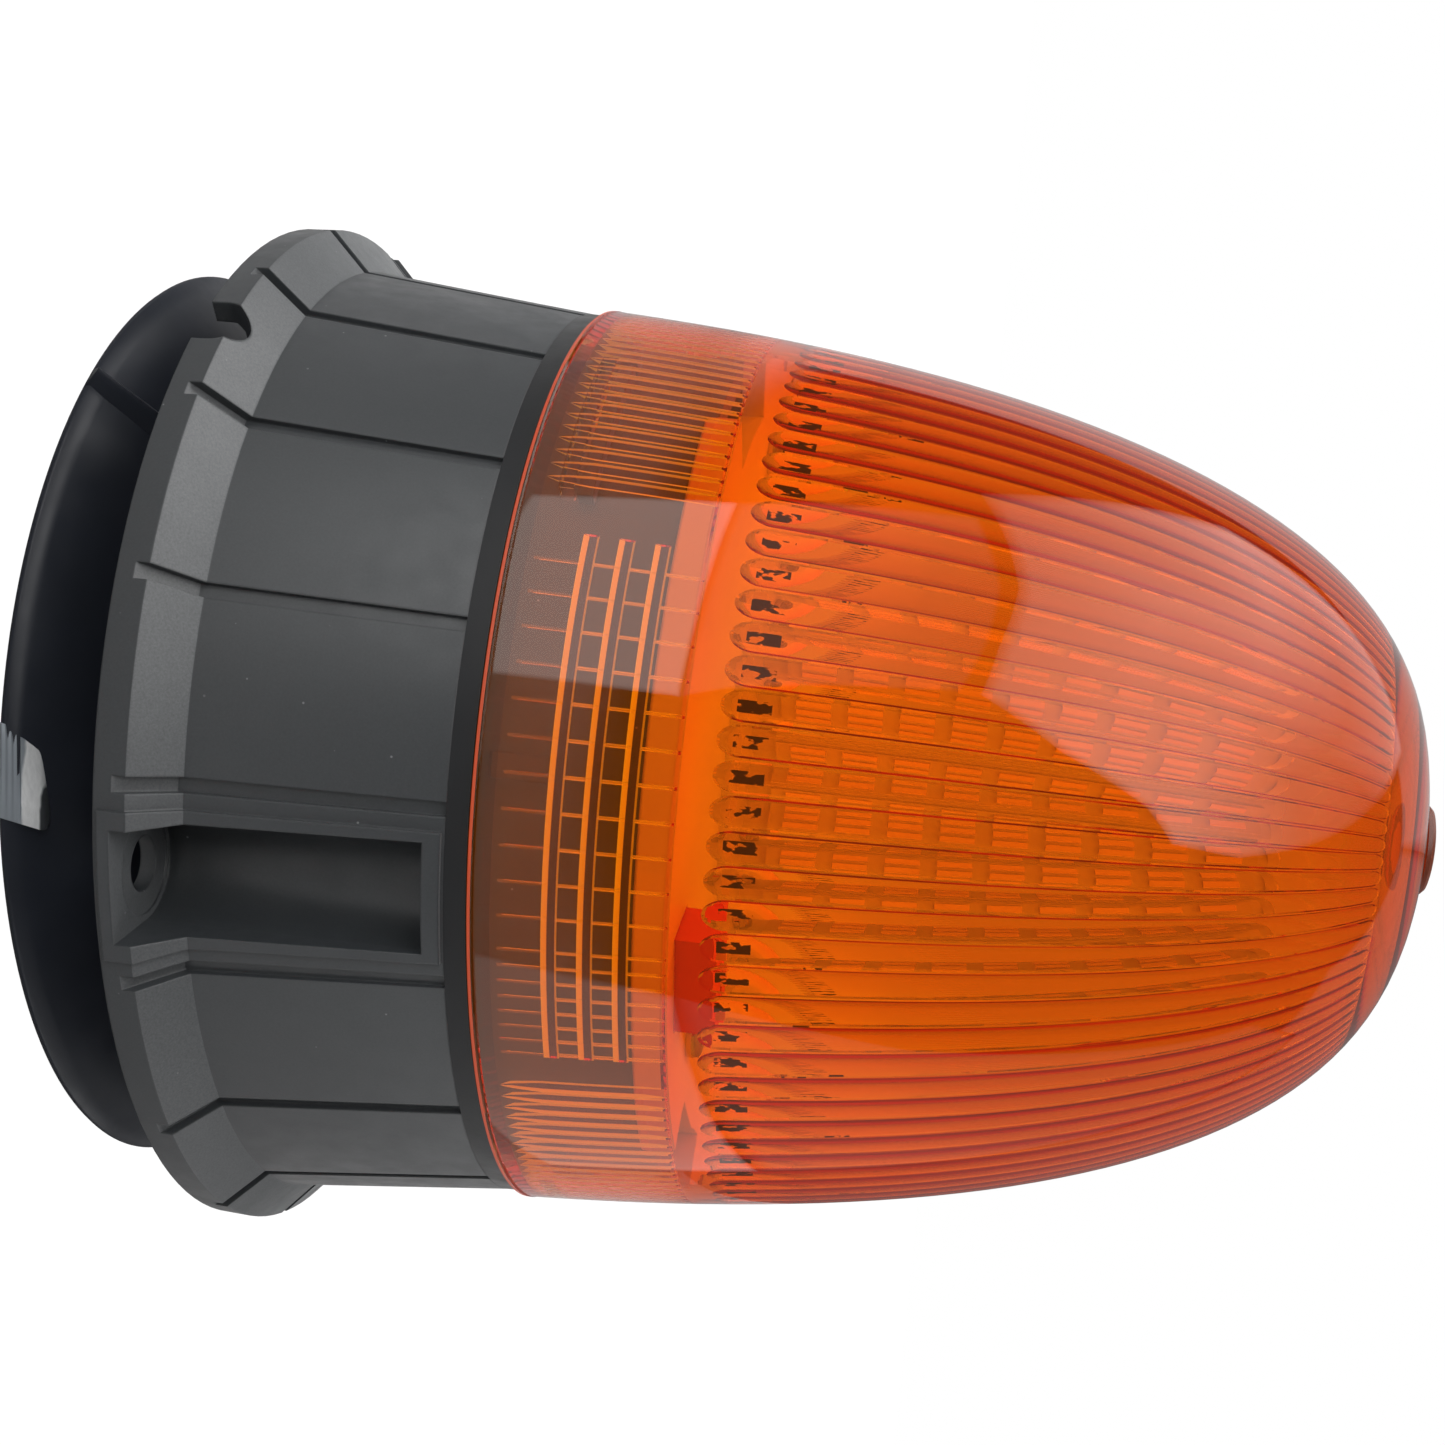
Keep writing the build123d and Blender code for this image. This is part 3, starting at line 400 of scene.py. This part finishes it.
class Rings:
    """A surface made of rings of points about the axis, joined in order, with a mark per face."""

    def __init__(self):
        self.points = []
        self.faces = []
        self.marks = []
        self.first_clocks = None
        self.last = None

    def ring(self, radii, heights, clocks, mark=CLEAR):
        """Adds a ring of points at these clock angles and joins it to the ring before."""
        first, count = len(self.points), len(clocks)
        turn = np.radians(clocks - 90)
        level = np.broadcast_to(heights, count)
        self.points.extend(map(tuple, np.stack([radii * np.cos(turn), radii * np.sin(turn), level], 1)))
        if self.last is None:
            self.first_clocks = clocks
        else:
            self.join(*self.last, first, clocks, np.broadcast_to(mark, count))
        self.last = (first, clocks)

    def join(self, low, low_clocks, high, high_clocks, marks):
        """Joins two rings column by column, or like a zip if their counts differ."""
        count, other = len(low_clocks), len(high_clocks)
        if count == other:
            for i in range(count):
                j = (i + 1) % count
                self.faces.append((low + i, low + j, high + j, high + i))
                self.marks.append(float(marks[i]))
            return
        turn = (high_clocks - low_clocks[0] + 180) % 360 - 180
        shift = int(np.argmin(np.abs(turn)))
        lows = np.append(low_clocks - low_clocks[0], 360.0)
        highs = np.roll(high_clocks, -shift) - low_clocks[0]
        highs = (highs - highs[0]) % 360 + turn[shift]
        highs = np.append(highs, highs[0] + 360)
        i = j = 0
        while i < count or j < other:
            corner = high + (shift + j) % other
            if j == other or (i < count and lows[i + 1] <= highs[j + 1]):
                self.faces.append((low + i % count, low + (i + 1) % count, corner))
                i += 1
            else:
                self.faces.append((low + i % count, high + (shift + j + 1) % other, corner))
                j += 1
            self.marks.append(CLEAR)

    def cap(self, z, first_ring=False):
        """Closes the last ring, or the first, with a centre point."""
        first, clocks = (0, self.first_clocks) if first_ring else self.last
        count, centre = len(clocks), len(self.points)
        self.points.append((0.0, 0.0, z))
        for i in range(count):
            pair = (first + i, first + (i + 1) % count)
            self.faces.append((*(pair[::-1] if first_ring else pair), centre))
            self.marks.append(CLEAR)


def swept(points_by_step):
    """Points and faces of a bar: one closed section per step, joined in order and capped."""
    count, last = len(points_by_step[0]), len(points_by_step) - 1
    faces = []
    for i in range(last):
        low, high = i * count, (i + 1) * count
        for k in range(count):
            m = (k + 1) % count
            faces.append((low + k, low + m, high + m, high + k))
    faces.append(tuple(range(count))[::-1])
    faces.append(tuple(last * count + k for k in range(count)))
    return [point for step in points_by_step for point in step], faces


def three_arcs(section, clock, arc, steps):
    """Points and faces of three equal bars bent round the axis, from a section of radii and heights."""
    points, faces = [], []
    for third in range(3):
        turns = [radians(clock + third * THIRD + arc * i / steps - 90) for i in range(steps + 1)]
        bar, bar_faces = swept([[(r * cos(a), r * sin(a), z) for r, z in section] for a in turns])
        faces += [tuple(len(points) + k for k in face) for face in bar_faces]
        points += bar
    return points, faces


# ---------------------------------------------------------------- lens
CELL_CLOCKS = CELL_CLOCK + np.arange(CELLS) * 360 / CELLS


def sector_cells(centre, half):
    """Which cells of the lower wall lie in three equal sectors round the lens, as a column."""
    return (np.abs((CELL_CLOCKS - centre + THIRD / 2) % THIRD - THIRD / 2) < half)[:, None]


# Each cell is eight columns wide. Comb cells hold a pointed rib; a window's cells hold a thin
# upright line, in every other cell except where the lines stand close.
COMB_CELLS = sector_cells(COMB_CLOCK, COMB_HALF)
WINDOW_CELLS = sector_cells(WINDOW_CLOCK, WINDOW_HALF)
LINED_CELLS = WINDOW_CELLS & (
    (np.arange(CELLS) % 2 == 0)[:, None] | sector_cells(CLOSE_CLOCK, CLOSE_HALF))
COMB_ACROSS = np.array([-1.0, -0.8, -0.62, -0.3, 0.1, 0.4, 0.8, 0.92])
COMB_RISE = np.array([0, 0, 1, 1, 1, 1, 0, 0])
COMB_SIDES = np.array([0, 0.8, 0, 0, 0, 1.0, 0, 0])
COMB_FLANK = 0.8
LINE_ACROSS = np.array([-1.0, -0.5, 0.0, 0.36, 0.48, 0.66, 0.78, 0.9])
LINE_RISE = np.array([0, 0, 0, 0, 1, 1, 0, 0])
LINE_SIDES = np.array([0, 0, 0, 1, 1, 1, 0, 0])


def comb_ring(z):
    """Columns of the lower lens wall at one height: clock angles and relief height."""
    share = np.clip((z - COMB_Z) / COMB_POINT, 0, 1)
    narrowed = COMB_ACROSS * max(share ** 0.6, 0.02)
    tongue = np.where(np.abs(COMB_ACROSS) <= COMB_FLANK, narrowed, COMB_ACROSS)
    columns = np.where(COMB_CELLS, tongue, LINE_ACROSS)
    clocks = (CELL_CLOCKS[:, None] + columns * 180 / CELLS).ravel()
    inside = COMB_Z <= z <= COMB_TOP_Z
    rib = COMB_RISE * (COMB_H * min(1, share * 4) if inside else 0.0)
    line = 0.0
    if BANDS[0] + BAND_W - 0.01 <= z <= COMB_TOP_Z:
        line = LINE_H
    elif COMB_Z + 1 < z < BANDS[0] + 0.01:
        line = LOW_LINE_H
    relief = np.where(COMB_CELLS, rib, np.where(LINED_CELLS, LINE_RISE * line, 0.0))
    for low in BANDS:
        if low <= z <= low + BAND_W:
            rise = BAND_H * min((z - low) / BAND_RISE, (low + BAND_W - z) / BAND_FALL, 1)
            relief = np.where(WINDOW_CELLS, np.maximum(relief, rise), relief)
    if abs(z - COMB_TOP_Z) < TOP_BEAD_HALF:
        relief = np.maximum(relief, TOP_BEAD_H)
    return clocks, relief.ravel()


def comb_marks(low_z, high_z):
    """Marks between two rows of the lower wall: frosted sides of ribs, lines and bands, which also
    carry a painted glow.
    """
    middle = (low_z + high_z) / 2
    sides = COMB_SIDES * (COMB_Z < middle < COMB_TOP_Z)
    strong = 0.45 if middle > BANDS[0] else 0.12
    lines = LINE_SIDES * strong * (COMB_Z + 1 < middle < COMB_TOP_Z)
    marks = np.where(COMB_CELLS, sides, np.where(LINED_CELLS, lines, CLEAR))
    for low in BANDS:
        if low < middle < low + BAND_W:
            side = CLEAR
            if middle < low + BAND_RISE:
                side = FROSTED_AND_GLOWING
            elif middle > low + BAND_W - BAND_FALL:
                side = 0.8
            marks = np.where(WINDOW_CELLS, side, marks)
    return marks.ravel()


# The ten columns of one flute, from edge to edge, then the middle of the land beside it.
FLUTE_ACROSS = np.array([-1.0, -0.87, -0.7, -0.4, 0.0, 0.4, 0.7, 0.87, 1.0])
# Columns of the painted shade mark at each flute's nose.
NOSE_SHADE_COLUMNS = np.array([0, 0, 0, 1, 1, 0, 0, 0, 0, 0])


def flute_ring(along, start, end, radius):
    """Columns of the fluted wall at one distance along it: clock angles and relief height.
    Each flute is a shallow round reed with a rounded nose, as a ball-ended cutter leaves it."""
    nose = np.clip(1 - (along - start) / FLUTE_NOSE, 0, 1)
    tail = np.clip(1 - (end - along) / FLUTE_TAIL, 0, 1)
    off = max(nose, tail)
    wide = max(sqrt(max(1 - off * off, 0)), 0.01)
    centres = FLUTE_CLOCK + np.arange(FLUTES) * 360 / FLUTES
    columns = np.append(FLUTE_ACROSS * wide * FLUTE_HALF, 180 / FLUTES)
    clocks = (centres[:, None] + columns).ravel()
    tall = FLUTE_H * min(1, radius / FLUTE_FULL_R) ** 1.5
    reach = np.sqrt(np.minimum((FLUTE_ACROSS * wide) ** 2 + off * off, 1))
    profile = tall * (1 - reach ** 2) + FLUTE_STEP * np.minimum((1 - reach) / FLUTE_BEVEL, 1)
    return clocks, np.tile(np.append(profile, 0), FLUTES)


def inner_wall():
    """Finely sampled meridian of the inside of the lens: heights, radii and arc length."""
    radius, reach = LENS_R - LENS_WALL, LENS_TIP_Z - LENS_ROOT_Z - LENS_WALL
    turn = np.linspace(((LENS_Z - LENS_ROOT_Z) / reach) ** (OUTLINE_P / 2), 1, 6000)
    z = LENS_ROOT_Z + reach * turn ** (2 / OUTLINE_P)
    r = radius * np.clip(1 - turn ** 2, 0, 1) ** (1 / OUTLINE_Q)
    along = np.concatenate([[0], np.cumsum(np.hypot(np.diff(z), np.diff(r)))])
    return z, r, along


def comb_heights():
    """Heights of the rows of the lower wall: close together where the relief starts and ends."""
    heights = [COMB_Z - 0.2, COMB_TOP_Z - 0.35, COMB_TOP_Z - 0.02, COMB_TOP_Z + 0.35]
    heights += [COMB_Z + COMB_POINT * share for share in (0.0, 0.04, 0.12, 0.25, 0.45, 0.7, 1.0)]
    for low in BANDS:
        heights += [low, low + BAND_RISE, low + BAND_W - BAND_FALL, low + BAND_W]
    return sorted(heights)


def flute_rows(start, end):
    """Distances along the wall of the rows of the flutes, close together in the noses."""
    rows = [start - 0.05] + [start + FLUTE_NOSE * (i / 9) ** 1.7 for i in range(10)]
    # rows that bound the painted shade marks
    rows += [start + NOSE_SHADE_START, start + NOSE_SHADE_END]
    rows += list(np.linspace(start + FLUTE_NOSE, end - FLUTE_TAIL, 26)[1:])
    rows += [end - FLUTE_TAIL * (1 - i / 6) ** 1.6 for i in range(1, 7)] + [end + 0.05]
    return sorted(rows)


def lens_outside(rings, clocks):
    """Rows from the nub down to the rim's edge."""
    rings.ring(0.6 * NUB_R, NUB_TOP_Z, clocks)
    for turn in (90, 60, 30, 0):
        a = radians(turn)
        radius = NUB_R - NUB_ROUND + NUB_ROUND * cos(a)
        # the nub's skin: dark and frosted, with a faint painted glow
        rings.ring(radius, NUB_TOP_Z - NUB_ROUND + NUB_ROUND * sin(a), clocks, DULL_SKIN)
    reach = LENS_TIP_Z - LENS_ROOT_Z
    top = sqrt(1 - (NUB_R / LENS_R) ** OUTLINE_Q)
    low = ((LENS_Z + RIM_H + 0.25 - LENS_ROOT_Z) / reach) ** (OUTLINE_P / 2)
    for i in range(46):
        turn = low + (top - low) * cos(pi / 2 * i / 45)
        height = LENS_ROOT_Z + reach * turn ** (2 / OUTLINE_P)
        rings.ring(LENS_R * (1 - turn ** 2) ** (1 / OUTLINE_Q), height, clocks)
    rings.ring(RIM_R - RIM_CHAMFER, LENS_Z + RIM_H, clocks)
    rings.ring(RIM_R, LENS_Z + RIM_H - RIM_CHAMFER, clocks)
    rings.ring(RIM_R, LENS_Z + RIM_EDGE_H, clocks)
    # the rim's bottom rows carry the painted red edge glow
    rings.ring(RIM_R, LENS_Z + 0.1, clocks, GLOWING_EDGE)
    rings.ring(RIM_R - 0.1, LENS_Z, clocks, GLOWING_EDGE)


def lens_inside(rings):
    """Rows from the bottom edge up past comb and flutes to the tip, where a cap closes them."""
    z, r, along = inner_wall()

    def row(at, clocks, relief=0.0, mark=CLEAR):
        """A ring this far along the inner wall, with its relief standing square off it."""
        height, radius = float(np.interp(at, along, z)), float(np.interp(at, along, r))
        ahead, behind = at + 0.05, max(at - 0.05, 0)
        dz = np.interp(ahead, along, z) - np.interp(behind, along, z)
        dr = np.interp(ahead, along, r) - np.interp(behind, along, r)
        length = sqrt(dz * dz + dr * dr)
        rings.ring(radius - relief * dz / length, height + relief * dr / length, clocks, mark)

    # the inner bottom edge carries the painted red edge glow
    row(0.0, even(360), mark=GLOWING_EDGE)
    rings.ring(LENS_R - LENS_WALL, LENS_Z + 0.6, even(360))
    below = None
    for height in comb_heights():
        clocks, relief = comb_ring(height)
        marks = CLEAR if below is None else comb_marks(below, height)
        row(float(np.interp(height, z, along)), clocks, relief, marks)
        below = height
    start = float(np.interp(FLUTE_Z, z, along))
    end = float(np.interp(-FLUTE_END_R, -r, along))
    # painted shade marks just past each flute's nose
    nose_shades = np.tile(NOSE_SHADE_COLUMNS * NOSE_SHADE, FLUTES)
    for at in flute_rows(start, end):
        nose_shaded = NOSE_SHADE_START < at - start <= NOSE_SHADE_END + 0.001
        clocks, relief = flute_ring(at, start, end, float(np.interp(at, along, r)))
        row(at, clocks, relief, nose_shades * nose_shaded)
    for part in (0.25, 0.5, 0.75, 0.93):
        row(end + 0.1 + (along[-1] - end - 0.1) * part, even(180))
    rings.cap(float(z[-1]))


def lens_shell():
    rings = Rings()
    lens_outside(rings, even(240))
    lens_inside(rings)
    rings.cap(NUB_TOP_Z, first_ring=True)
    piece = build("lens_shell", rings.points, rings.faces, LENS_AMBER, "lens",
                  9.0, flipped=True, marks=rings.marks)
    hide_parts("lens_dome")


def bayonet_lugs():
    """Three clear lugs inside the lens that hook under the housing's."""
    outer, inner, top = LENS_R - LENS_WALL - LUG_GAP, LUG_R + LUG_CHAMFER, LUG_Z + LUG_T
    section = [(outer, LUG_Z), (inner, LUG_Z), (LUG_R, LUG_Z + LUG_CHAMFER),
               (LUG_R, top - LUG_CHAMFER), (inner, top), (outer, top)]
    points, faces = three_arcs(section, LUG_CLOCK - LUG_ARC / 2, LUG_ARC, 16)
    build("bayonet_lugs", points, faces, LUG_AMBER, "lens", 30.0)


def deck_lip():
    """White lip at the deck's edge."""
    outer = LIP_OUT_R - LIP_CHAMFER
    section = [(LIP_IN_R, LIP_TOP_Z), (LIP_IN_R, LIP_Z), (outer, LIP_Z),
               (LIP_OUT_R, LIP_Z + LIP_CHAMFER), (LIP_OUT_R, LIP_TOP_Z - LIP_CHAMFER),
               (outer, LIP_TOP_Z)]
    points, faces = three_arcs(section, NOTCH_CLOCK + NOTCH_HALF, THIRD - 2 * NOTCH_HALF, 40)
    build("deck_lip", points, faces, DECK_WHITE, "base", 30.0)


# ---------------------------------------------------------------- suction foot
UP = np.array([0.0, 0.0, 1.0])


def axes_at(clock):
    """Unit vectors away from the axis and sideways at a clock angle."""
    a = radians(clock - 90)
    return np.array([cos(a), sin(a), 0.0]), np.array([-sin(a), cos(a), 0.0])


def suction_cup():
    """Flared rubber cup: a rolled rim, a slightly bellied wall and a hub under the magnet."""
    outside = [(CUP_RIM_R - 1.2, 0.0), (CUP_RIM_R - 0.3, 0.15), (CUP_RIM_R, 0.6),
               (CUP_RIM_R - 0.1, 1.1)]
    for i in range(1, 13):
        share = i / 12
        belly = CUP_BELLY * sin(pi * share)
        radius = CUP_SLOPE_R - FLANK_Z - share * FLANK_IN + belly
        outside.append((radius, FLANK_Z + share * (CUP_HUB_Z - 2.0) + belly))
    outside += [(CUP_HUB_R + 0.35, CUP_HUB_Z + 0.4), (CUP_HUB_R, CUP_HUB_Z + 1.2),
                (CUP_HUB_R, CUP_TOP_Z)]
    inner = CUP_SLOPE_R - CUP_WALL
    inside = [(CUP_BOLT_HOLE_R, CUP_TOP_Z), (CUP_BOLT_HOLE_R, CUP_HUB_Z)]
    inside += [(inner - CUP_HUB_Z - 1.0, CUP_HUB_Z), (inner - CUP_HUB_Z + 0.6, CUP_HUB_Z - 1.1)]
    inside += [(inner - CUP_HUB_Z + step, CUP_HUB_Z - step) for step in (4, 8, 12)]
    inside += [(inner - 1.0, 0.8), (inner - 0.6, 0.15), (inner - 0.2, 0.0)]
    clocks = even(192)
    rings = Rings()
    for radius, height in outside + inside:
        rings.ring(radius, height, clocks)
    rings.join(*rings.last, 0, clocks, np.zeros(len(clocks)))
    piece = build("suction_cup", rings.points, rings.faces, CUP_RUBBER, "base", 50.0)
    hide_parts("suction_foot")


def pull_rib():
    """Sharp rib moulded down the cup's flank, ending in a point proud of the rim, to lift it by."""
    out, side = axes_at(PULL_CLOCK)
    normal = (out + UP) * sqrt(0.5)
    section = [(-1.0, -0.5), (-0.5, 0.35), (-0.22, 0.85), (0.0, 1.0), (0.22, 0.85), (0.5, 0.35),
               (1.0, -0.5)]
    steps, rows = 14, []
    for i in range(steps + 1):
        share = i / steps
        base = out * (CUP_SLOPE_R - 0.5 - share * PULL_IN) + UP * (PULL_Z + share * PULL_UP)
        close = min(1, 0.9 + share) * sqrt(max(0.02, 1 - max(0, share - 0.8) / 0.2))
        wide, lift = PULL_W / 2 * close, PULL_H * (PULL_TIP if i == 0 else 1.0) * close
        rows.append([tuple(base + side * (wide * across) + normal * (lift * proud))
                     for across, proud in section])
    points, faces = swept(rows)
    build("pull_rib", points, faces, CUP_RUBBER, "base", 50.0)


def tab_ridges(share):
    """Height of the tab's face against its plane: ridges by the fold, a gap, then flat."""
    if share < RIDGE_END:
        return RIDGE_H * cos(2 * pi * share * RIDGES) - RIDGE_H
    return -GAP_DEPTH if share < GAP_END else 0.0


def tab_clip():
    """Bright skewed tab folded over the cup's rim: fine ridges by the fold, then a satin face."""
    out, side = axes_at(TAB_CLOCK)
    rows, columns = 80, 16
    points, faces = [], []
    for layer in (0.0, -TAB_T):
        for i in range(rows):
            share = i / (rows - 1)
            slope = TAB_LENGTH * max(0.0, share - 0.02)
            corner = max(0.0, (share - 0.72) / 0.28)
            rounded = sqrt(max(0.0, 1 - corner ** 2)) * 0.3 + 0.7
            end_roll = 1.6 * max(0.0, share - 0.74) ** 2 / 0.07
            for c in range(columns):
                place = 2 * c / (columns - 1) - 1
                across = place * TAB_W / 2 * rounded + TAB_SKEW * (share - 0.3)
                roll = -0.35 * abs(place) ** 6 - end_roll + TAB_TILT * place * share
                lift = (layer + roll + tab_ridges(share) * (1 - place ** 6)) * sqrt(0.5)
                radius = CUP_RIM_R + TAB_OUT - slope + lift
                height = max(0.0, TAB_Z + slope + lift)
                points.append(tuple(out * radius + side * across + UP * height))
    size = rows * columns
    for i in range(rows - 1):
        for c in range(columns - 1):
            k = i * columns + c
            faces.append((k, k + 1, k + columns + 1, k + columns))
            faces.append((size + k, size + k + columns, size + k + columns + 1, size + k + 1))
    edge = list(range(columns)) + [i * columns + columns - 1 for i in range(1, rows)]
    edge += [(rows - 1) * columns + c for c in range(columns - 2, -1, -1)]
    edge += [i * columns for i in range(rows - 2, 0, -1)]
    for k, m in zip(edge, edge[1:] + edge[:1]):
        faces.append((m, k, size + k, size + m))
    piece = build("tab_clip", points, faces, tab_steel(), "base", 50.0)
    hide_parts("release_tab")


lens_shell()
bayonet_lugs()
deck_lip()
suction_cup()
pull_rib()
tab_clip()


# ---------------------------------------------------------------- camera
def camera():
    place = Vector(CAMERA_PLACE)
    data = bpy.data.cameras.new("camera")
    data.lens = CAMERA_LENS
    data.sensor_width = 36.0
    data.shift_x, data.shift_y = CAMERA_SHIFT
    made = bpy.data.objects.new("camera", data)
    made.location = place
    made.rotation_mode = "QUATERNION"
    roll = Quaternion((0, 0, 1), radians(CAMERA_ROLL))
    made.rotation_quaternion = (Vector(CAMERA_AIM) - place).to_track_quat("-Z", "Y") @ roll
    bpy.context.scene.collection.objects.link(made)
    bpy.context.scene.camera = made


# ---------------------------------------------------------------- studio
MIDDLE = Vector((0.0, 0.0, 0.1))
GLOW = "glow"


def added(name, mesh):
    made = bpy.data.objects.new(name, mesh)
    bpy.context.scene.collection.objects.link(made)
    return made


def towards(clock, elevation, distance):
    """Point at a distance in metres from the beacon's middle, in a direction."""
    a, e = radians(clock - 90), radians(elevation)
    return MIDDLE + Vector((cos(a) * cos(e), sin(a) * cos(e), sin(e))) * distance


def lamp_paper(name):
    """Emission whose strength is the glow kept at each point of the mesh."""
    material = bpy.data.materials.new(name)
    material.use_nodes = True
    tree = material.node_tree
    tree.nodes.clear()
    level = tree.nodes.new("ShaderNodeAttribute")
    level.attribute_name = GLOW
    light = tree.nodes.new("ShaderNodeEmission")
    output = tree.nodes.new("ShaderNodeOutputMaterial")
    tree.links.new(level.outputs["Fac"], light.inputs["Strength"])
    tree.links.new(light.outputs["Emission"], output.inputs["Surface"])
    return material


def lamp_panel(name, outline, levels, distance, fill=False):
    """Soft-edged light inside an outline of clock angles and elevations, unseen by the camera.
    Its levels are evenly spaced from its foot to its top. Fill lights make no reflections."""
    corners = [towards(clock, elevation, distance) for clock, elevation in outline]
    middle = sum((corner - MIDDLE for corner in corners), Vector()).normalized() * distance + MIDDLE
    points, fades = [middle], [1.0]
    for share, fade in ((0.5, 1.0), (0.95, 1.0), (1.0, 0.3)):
        for corner in corners:
            way = (middle.lerp(corner, share) - MIDDLE).normalized()
            points.append(MIDDLE + way * distance)
            fades.append(fade)
    lowest = min(elevation for _, elevation in outline)
    span = max(elevation for _, elevation in outline) - lowest
    glow = []
    for point, fade in zip(points, fades):
        height = (degrees(asin(min(1, (point - MIDDLE).z / distance))) - lowest) / span
        glow.append(fade * float(np.interp(height, np.linspace(0, 1, len(levels)), levels)))
    count = len(outline)
    faces = [(0, 1 + i, 1 + (i + 1) % count) for i in range(count)]
    for layer in (1, 1 + count):
        for i in range(count):
            j = (i + 1) % count
            faces.append((layer + i, layer + count + i, layer + count + j, layer + j))
    mesh = bpy.data.meshes.new(name)
    mesh.from_pydata([tuple(p) for p in points], [], faces)
    mesh.attributes.new(GLOW, "FLOAT", "POINT").data.foreach_set("value", glow)
    mesh.materials.append(lamp_paper(name))
    panel = added(name, mesh)
    panel.visible_camera = False
    panel.visible_shadow = False
    panel.visible_transmission = False
    panel.visible_glossy = not fill


def floor():
    """Pale floor that reads white, with a faint shadow."""
    size = 3.0
    corners = [(-size, -size, 0), (size, -size, 0), (size, size, 0), (-size, size, 0)]
    mesh = bpy.data.meshes.new("floor")
    mesh.from_pydata(corners, [], [(0, 1, 2, 3)])
    finish = Finish("floor_white", roughness=0.9)
    finish.set("Base Color", (0.3, 0.3, 0.3, 1.0))
    path = finish.node("ShaderNodeLightPath").outputs
    glow = finish.node("ShaderNodeEmission")
    glow.inputs["Strength"].default_value = 1.1
    through = finish.maths("MULTIPLY", path["Is Transmission Ray"], 0.58)
    seen = finish.maths("MULTIPLY", path["Is Camera Ray"], 0.93)
    surface = finish.mixed_shader(finish.maths("MAXIMUM", seen, through),
                                  finish.shader.outputs["BSDF"], glow.outputs["Emission"])
    finish.link(surface, finish.output.inputs["Surface"])
    mesh.materials.append(finish.material)
    made = added("floor", mesh)


def surroundings(level, through):
    """World that is white to the camera, pale through the lens and dark grey in reflections."""
    world = bpy.data.worlds.new("studio")
    world.use_nodes = True
    tree = world.node_tree
    tree.nodes.clear()
    seen = tree.nodes.new("ShaderNodeBackground")
    seen.inputs["Color"].default_value = (1.0, 1.0, 1.0, 1.0)
    fill = tree.nodes.new("ShaderNodeBackground")
    fill.inputs["Color"].default_value = (level, level, level, 1.0)
    path = tree.nodes.new("ShaderNodeLightPath")
    pale = tree.nodes.new("ShaderNodeMath")
    pale.operation = "MULTIPLY"
    pale.inputs[1].default_value = through
    either = tree.nodes.new("ShaderNodeMath")
    either.operation = "MAXIMUM"
    mix = tree.nodes.new("ShaderNodeMixShader")
    output = tree.nodes.new("ShaderNodeOutputWorld")
    for source, target in (
        (path.outputs["Is Transmission Ray"], pale.inputs[0]),
        (pale.outputs["Value"], either.inputs[0]),
        (path.outputs["Is Camera Ray"], either.inputs[1]),
        (either.outputs["Value"], mix.inputs[0]),
        (fill.outputs["Background"], mix.inputs[1]),
        (seen.outputs["Background"], mix.inputs[2]),
        (mix.outputs["Shader"], output.inputs["Surface"]),
    ):
        tree.links.new(source, target)
    bpy.context.scene.world = world


camera()
floor()
surroundings(level=0.05, through=0.6)

# Panels seen in the lens's reflections: the big key light, then bright and dim ones at its sides.
lamp_panel("key_panel", [(-107, 13), (-95, 17), (-79, 21), (-60, 22), (-46, 22), (-34, 31),
                         (-21, 42), (-9, 46), (-4, 57), (-9, 72), (-150, 80), (-171, 56),
                         (-140, 25)], (0.6, 1.9, 2.1, 0.9, 0.35), 1.3)
lamp_panel("left_low_panel", [(-33, -12.9), (-33, -1), (-82, -1), (-76, -12.9)], (2.2, 2.2), 0.42)
lamp_panel("left_panel", [(-33, -1), (-36, 2), (-40, 9), (-44, 20), (-58, 21), (-75, 20),
                          (-94, 15), (-86, 3), (-82, -1)], (0.5, 0.25), 0.42)
lamp_panel("right_low_panel", [(28, -12.9), (36, -1), (100, -1), (100, -12.9)],
           (0.95, 0.95), 0.42)
lamp_panel("right_panel", [(36, -1), (51, 15), (60, 32), (75, 50), (100, 50), (100, -1)],
           (0.33, 0.2), 0.42)
lamp_panel("far_left_panel", [(163, -6), (163, 62), (190, 62), (207, 50), (212, 20),
                              (212, -6)], (0.5, 0.5), 1.4)
lamp_panel("far_right_panel", [(95, -6), (95, 62), (163, 62), (163, -6)], (0.1, 0.25, 0.3), 1.4)

# Fill lights, which only brighten what scatters light.
lamp_panel("back_fill_panel", [(115, 10), (115, 60), (245, 60), (245, 10)],
           (4.9, 4.9), 1.5, fill=True)
lamp_panel("left_fill_panel", [(-72, 4), (-72, 70), (-22, 70), (-22, 4)],
           (3.7, 3.7), 1.35, fill=True)
lamp_panel("right_fill_panel", [(35, 2), (35, 45), (100, 45), (100, 2)],
           (2.6, 2.3), 1.35, fill=True)

scene = bpy.context.scene
scene.view_settings.view_transform = "Standard"
scene.cycles.max_bounces = 16
scene.cycles.transmission_bounces = 14
scene.cycles.transparent_max_bounces = 16
scene.cycles.use_denoising = True
